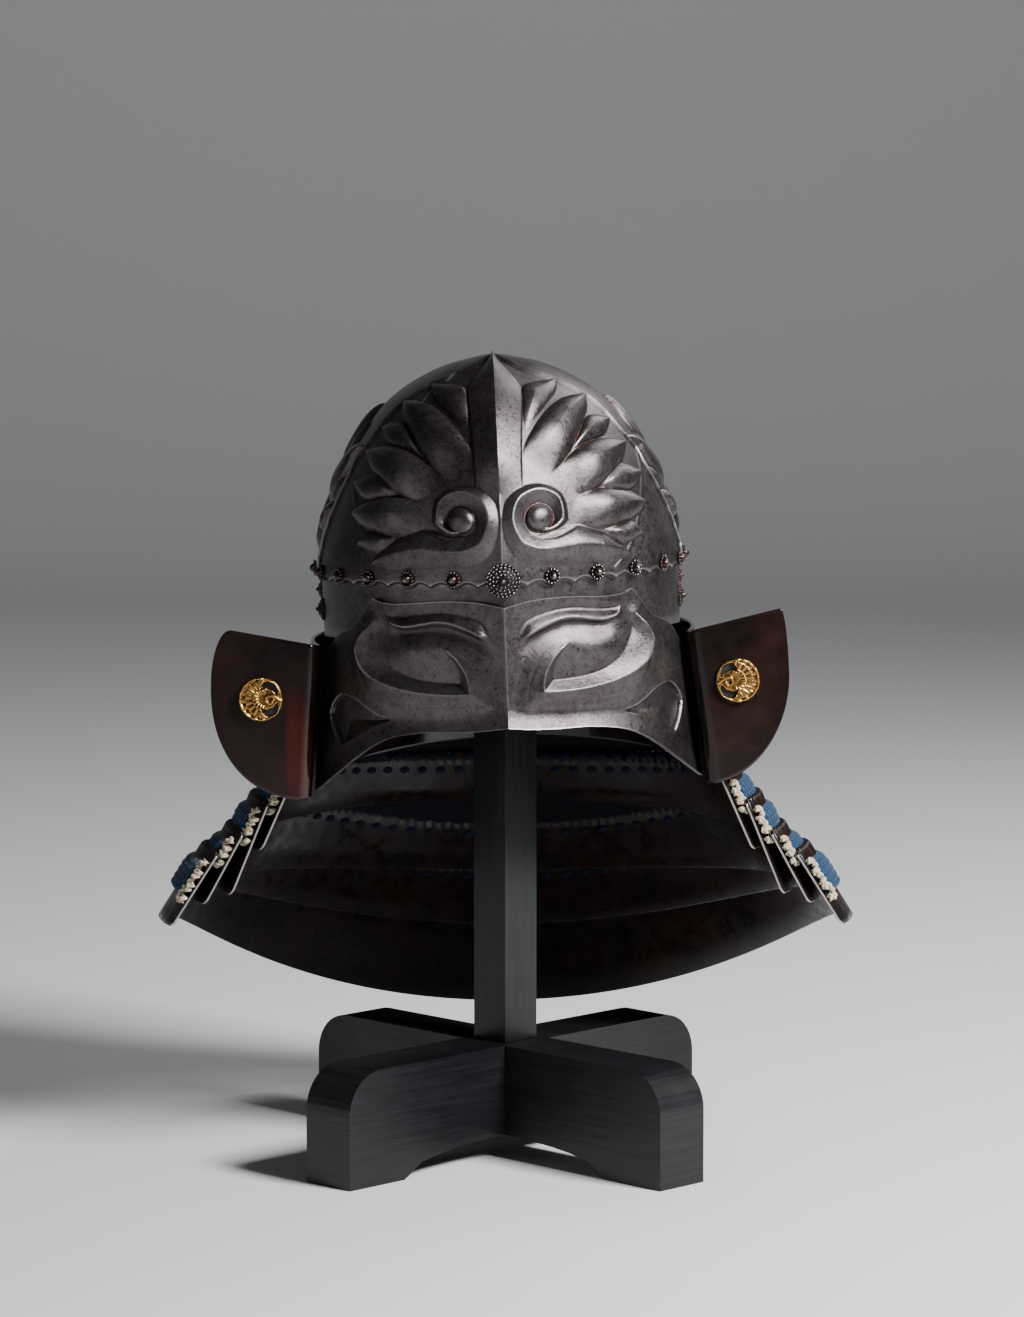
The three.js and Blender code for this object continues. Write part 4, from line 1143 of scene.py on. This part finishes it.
class Look:
    """A Principled material whose sockets are fed by a few procedural nodes."""

    def __init__(self, name, **values):
        self.material = bpy.data.materials.new(name)
        self.material.use_nodes = True
        self.nodes = self.material.node_tree.nodes
        self.links = self.material.node_tree.links
        self.shader = self.nodes["Principled BSDF"]
        for key, value in values.items():
            self.shader.inputs[key.replace("_", " ")].default_value = value
        self.place = self.nodes.new("ShaderNodeTexCoord").outputs["Object"]

    def noise(self, scale, detail, roughness, stretch=None):
        node = self.nodes.new("ShaderNodeTexNoise")
        for key, value in (("Scale", scale), ("Detail", detail), ("Roughness", roughness)):
            node.inputs[key].default_value = value
        source = self.place
        if stretch:
            mapping = self.nodes.new("ShaderNodeMapping")
            mapping.inputs["Scale"].default_value = stretch
            self.links.new(source, mapping.inputs["Vector"])
            source = mapping.outputs["Vector"]
        self.links.new(source, node.inputs["Vector"])
        return node.outputs["Fac"]

    def ramp(self, source, *stops):
        node = self.nodes.new("ShaderNodeValToRGB")
        ramp = node.color_ramp
        while len(ramp.elements) < len(stops):
            ramp.elements.new(0.5)
        for element, (position, color) in zip(ramp.elements, stops):
            element.position = position
            element.color = (*color, 1) if hasattr(color, "__len__") else (color, color, color, 1)
        self.links.new(source, node.inputs["Fac"])
        return node.outputs["Color"]

    def mix(self, factor, a, b):
        node = self.nodes.new("ShaderNodeMix")
        node.data_type = "RGBA"
        for socket, value in ((node.inputs["Factor"], factor), (node.inputs["A"], a), (node.inputs["B"], b)):
            if hasattr(value, "links"):
                self.links.new(value, socket)
            else:
                socket.default_value = value if isinstance(value, float) else (*value, 1)
        return node.outputs["Result"]

    def spread(self, source, low, high, soft):
        """1 between low and high, with soft ends."""
        both = self.nodes.new("ShaderNodeMath")
        both.operation = "MULTIPLY"
        for socket, start, end in (
            (both.inputs[0], low - soft, low + soft), (both.inputs[1], high + soft, high - soft),
        ):
            node = self.nodes.new("ShaderNodeMapRange")
            node.inputs["From Min"].default_value = start
            node.inputs["From Max"].default_value = end
            self.links.new(source, node.inputs["Value"])
            self.links.new(node.outputs["Result"], socket)
        return both.outputs["Value"]

    def split(self):
        node = self.nodes.new("ShaderNodeSeparateXYZ")
        self.links.new(self.place, node.inputs["Vector"])
        return node.outputs

    def pointiness(self):
        return self.nodes.new("ShaderNodeNewGeometry").outputs["Pointiness"]

    def feed(self, socket, source):
        self.links.new(source, self.shader.inputs[socket])

    def bump(self, source, strength, reach):
        node = self.nodes.new("ShaderNodeBump")
        node.inputs["Strength"].default_value = strength
        node.inputs["Distance"].default_value = reach
        self.links.new(source, node.inputs["Height"])
        self.feed("Normal", node.outputs["Normal"])


IRON_SHADES = ((0.066, 0.05, 0.052), (0.104, 0.09, 0.095), (0.14, 0.126, 0.132))
IRON_STOPS = (0.4, 0.5, 0.6)
# Pits, and the dark brown of the hollows, which is russet oxide and painted shade together.
PIT, RUSSET_AND_SHADE = (0.035, 0.02, 0.017), (0.04, 0.019, 0.014)


def iron_look(name, roughness, pits, tone, edge):
    """Russet iron: blotched and pitted; dark brown in the hollows, russet oxide deepened by painted shade;
    rubbed bright on the ridges, wear together with a painted highlight along convex edges.
    """
    look = Look(name, Metallic=0.9)
    fine = look.noise(620, 5, 0.7)
    grain = look.mix(0.45, look.noise(24, 7, 0.62), look.noise(230, 6, 0.75))
    shades = [tuple(tone * channel for channel in shade) for shade in IRON_SHADES]
    ground = look.ramp(grain, *zip(IRON_STOPS, shades))
    pitted = look.mix(look.ramp(fine, (0.36, pits), (0.45, 0.0)), ground, PIT)
    # Hollows found by pointiness darken towards the russet colour: real oxide, widened into painted shade.
    hollow = look.ramp(look.pointiness(), (0.44, 0.95), (0.497, 0.0))
    # Convex edges found by pointiness lighten towards the edge colour: rubbed wear, and a painted highlight
    # along the crests.
    worn = look.ramp(look.pointiness(), (0.518, 0.0), (0.58, 0.9))
    look.feed("Base Color", look.mix(worn, look.mix(hollow, pitted, RUSSET_AND_SHADE), edge))
    low, high = roughness
    look.feed("Roughness", look.ramp(look.mix(0.5, grain, fine), (0.38, low), (0.6, high)))
    look.bump(look.mix(0.4, fine, look.noise(1700, 4, 0.75)), 0.4, 0.0007)
    return look.material


# Red lacquer down the root of the left flap: across and up, each from, to and softness in metres.
STRIPE_ACROSS = (AXIS[0] - 0.1165, AXIS[0] - 0.1055, 0.002)
STRIPE_UP = (0.205, 0.252, 0.012)
STRIPE_RED = (0.05, 0.005, 0.003)
LACQUER_EDGE = (0.3, 0.2, 0.15)


def lacquer_look(name, roughness, coat, gloss, stripe=False):
    look = Look(name, Specular_IOR_Level=gloss, Coat_Weight=coat, Coat_Roughness=0.06)
    ground = look.ramp(look.noise(40, 5, 0.6), (0.35, (0.004, 0.003, 0.0028)), (0.7, (0.014, 0.006, 0.0045)))
    if stripe:
        across, _, up = look.split()
        band = look.mix(look.spread(up, *STRIPE_UP), (0.0, 0.0, 0.0), look.spread(across, *STRIPE_ACROSS))
        ground = look.mix(band, ground, STRIPE_RED)
    worn = look.ramp(look.pointiness(), (0.54, 0.0), (0.62, 1.0))
    look.feed("Base Color", look.mix(worn, ground, LACQUER_EDGE))
    cloud = look.noise(120, 4, 0.6)
    look.feed("Roughness", look.ramp(cloud, (0.35, roughness * 0.7), (0.75, roughness * 1.8)))
    look.bump(look.noise(60, 3, 0.5), 0.08, 0.001)
    return look.material


def thread_look(name, dark, light, sheen=0.25):
    look = Look(name, Roughness=0.85, Sheen_Weight=sheen, Sheen_Roughness=0.4, Specular_IOR_Level=0.2)
    fibre = look.noise(900, 4, 0.7)
    look.feed("Base Color", look.ramp(fibre, (0.3, dark), (0.7, light)))
    look.bump(fibre, 0.5, 0.0004)
    return look.material


def cord_look():
    """Cream cord flecked with green and orange threads."""
    look = Look("cream_cord", Roughness=0.85, Sheen_Weight=0.3)
    fibre = look.noise(1000, 4, 0.7)
    cream = look.ramp(fibre, (0.3, (0.28, 0.23, 0.15)), (0.7, (0.62, 0.56, 0.43)))
    green, pale, orange = (0.03, 0.1, 0.05), (0.5, 0.43, 0.31), (0.36, 0.17, 0.04)
    flecks = look.ramp(look.noise(260, 2, 0.5), (0.4, green), (0.46, pale), (0.55, pale), (0.62, orange))
    look.feed("Base Color", look.mix(0.55, cream, flecks))
    look.bump(fibre, 0.5, 0.0004)
    return look.material


def gold_look():
    """Gilt, darkened in the hollows as painted shade and bright on the ridges."""
    look = Look("gilt", Metallic=1.0)
    dark, plain, bright = (0.015, 0.006, 0.002), (0.2, 0.1, 0.028), (0.62, 0.39, 0.13)
    # Pointiness darkens the hollows almost to black, as painted shade.
    look.feed("Base Color", look.ramp(look.pointiness(), (0.42, dark), (0.49, plain), (0.58, bright)))
    look.feed("Roughness", look.ramp(look.noise(500, 3, 0.6), (0.3, 0.22), (0.7, 0.42)))
    return look.material


def wood_look(name, stretch):
    """Black paint over wood, with grain along the stretched axis and scuffs in its gloss."""
    look = Look(name, Specular_IOR_Level=0.35)
    grain = look.noise(26, 6, 0.6, stretch)
    look.feed("Base Color", look.ramp(grain, (0.35, (0.003, 0.0034, 0.004)), (0.75, (0.009, 0.0095, 0.011))))
    look.feed("Roughness", look.ramp(look.noise(9, 5, 0.75), (0.35, 0.27), (0.7, 0.486)))
    look.bump(grain, 0.22, 0.0008)
    return look.material


def edge_look():
    """Paint worn thin along the stand's edges."""
    look = Look("rubbed_edge", Roughness=0.5)
    wear = look.noise(60, 5, 0.7)
    look.feed("Base Color", look.ramp(wear, (0.36, (0.01, 0.011, 0.012)), (0.52, (0.24, 0.24, 0.23))))
    return look.material


# The edge colours light the convex edges: rubbed wear together with painted highlight.
IRON = iron_look("russet_iron", roughness=(0.24, 0.4), pits=0.75, tone=0.72, edge=(0.3, 0.28, 0.28))
STUD = iron_look("dark_iron", roughness=(0.18, 0.28), pits=0.0, tone=0.8, edge=(0.2, 0.19, 0.195))
# Near-black painted shade: the discs between a rosette's beads, the shadow under the bowl's lip and the
# floors of the roundels' crescents.
PAINTED_SHADE = Look("painted_shade_recess", Metallic=0.4, Roughness=0.55, Base_Color=(0.012, 0.0095, 0.009, 1)).material
RIM = Look("rubbed_rim", Metallic=0.8, Roughness=0.3, Base_Color=(0.42, 0.38, 0.37, 1)).material
LACQUER = lacquer_look("brown_lacquer", 0.12, coat=0.16, gloss=0.28, stripe=True)
LAME_LACQUER = lacquer_look("lame_lacquer", 0.3, coat=0.05, gloss=0.22)
LACING = thread_look("blue_lacing", (0.0018, 0.01, 0.027), (0.0085, 0.041, 0.1))
# The inner stitches are a darker copy of the lacing: painted shade for the inside.
STITCH_IN_SHADE = thread_look("inner_stitch", (0.0015, 0.003, 0.009), (0.005, 0.011, 0.026), sheen=0.0)
SHADE = thread_look("lacing_back", (0.0008, 0.001, 0.002), (0.002, 0.003, 0.007), sheen=0.0)
CORD = cord_look()
GOLD = gold_look()
POST_WOOD = wood_look("post_wood", (9, 9, 0.5))
BOARD_WOOD = wood_look("board_wood", (0.9, 0.9, 16))
EDGE = edge_look()

# ---------- building

make_bowl()
make_band()
make_lip_shadow()
make_visor()
make_rivets()
make_side_rosettes()
make_first_lame()
for lame_number in range(len(LAMES)):
    if lame_number:
        make_hanging_lame(lame_number)
        make_edge_cords(lame_number)
        make_rims(lame_number)
    make_lacing(lame_number)
make_inner_stitches()
make_crests()

for node_name in ("cross_board_lower", "cross_board_upper", "post", "head_rest"):
    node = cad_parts[node_name]
    node.data.materials.clear()
    node.data.materials.append(POST_WOOD if node_name == "post" else BOARD_WOOD)
    if node_name != "head_rest":
        node.data.materials.append(EDGE)
        bevel = node.modifiers.new("worn_edges", "BEVEL")
        bevel.width = 0.0009
        bevel.segments = 2
        bevel.material = 1
        bevel.angle_limit = math.radians(35)
        bevel.harden_normals = False

# ---------- floor, lights and camera

FLOOR = Sizes(width=12.0, far=3.0, bend=1.2, rise=4.5)
# Lights: place, aim, width, height and power.
LIGHTS = dict(
    key_right=((1.15, -0.95, 1.35), (0, 0, 0.33), 0.5, 0.5, 105),
    fill_left=((-1.4, -1.1, 0.2), (0, 0, 0.3), 0.4, 0.8, 4),
    back_right=((0.9, 0.9, 1.3), (0, 0, 0.3), 0.7, 0.6, 12),
)
CAMERA = Sizes(lens=131.2, sensor=36, place=(0.0037, -2.6, 0.5625), down=6.37)


def make_floor():
    """A pale floor that bends up into a wall well behind the object."""
    half, far, bend = FLOOR.width / 2, FLOOR.far, FLOOR.bend
    turns = np.linspace(0, math.pi / 2, 14)[1:]
    curve = [(far + bend * math.sin(turn), bend - bend * math.cos(turn)) for turn in turns]
    profile = [(-half, 0), (far, 0), *curve, (far + bend, FLOOR.rise)]
    points = [(x, y, z) for x in (-half, half) for y, z in profile]
    count = len(profile)
    faces = [[i, i + count, i + count + 1, i + 1] for i in range(count - 1)]
    look = Look("pale_floor", Roughness=0.75, Base_Color=(0.6, 0.6, 0.61, 1))
    add_object("studio_floor", smooth_mesh("studio_floor", points, faces, look.material))


def area_light(name, place, aim, width, height, power):
    light = bpy.data.lights.new(name, "AREA")
    light.shape = "RECTANGLE"
    light.size, light.size_y = width, height
    light.energy = power
    obj = add_object(name, light)
    obj.location = place
    obj.rotation_mode = "QUATERNION"
    obj.rotation_quaternion = (Vector(aim) - Vector(place)).to_track_quat("-Z", "Y")


make_floor()
for light_name, values in LIGHTS.items():
    area_light(light_name, *values)

world = bpy.data.worlds.new("studio")
world.use_nodes = True
world.node_tree.nodes["Background"].inputs["Color"].default_value = (0.5, 0.52, 0.56, 1)
world.node_tree.nodes["Background"].inputs["Strength"].default_value = 0.12
bpy.context.scene.world = world

camera = bpy.data.cameras.new("camera")
camera.lens, camera.sensor_width = CAMERA.lens, CAMERA.sensor
camera.clip_start, camera.clip_end = 0.1, 20
camera_object = add_object("camera", camera)
camera_object.location = Vector(AXIS) + Vector(CAMERA.place)
camera_object.rotation_euler = (math.radians(90 - CAMERA.down), 0, 0)
bpy.context.scene.camera = camera_object
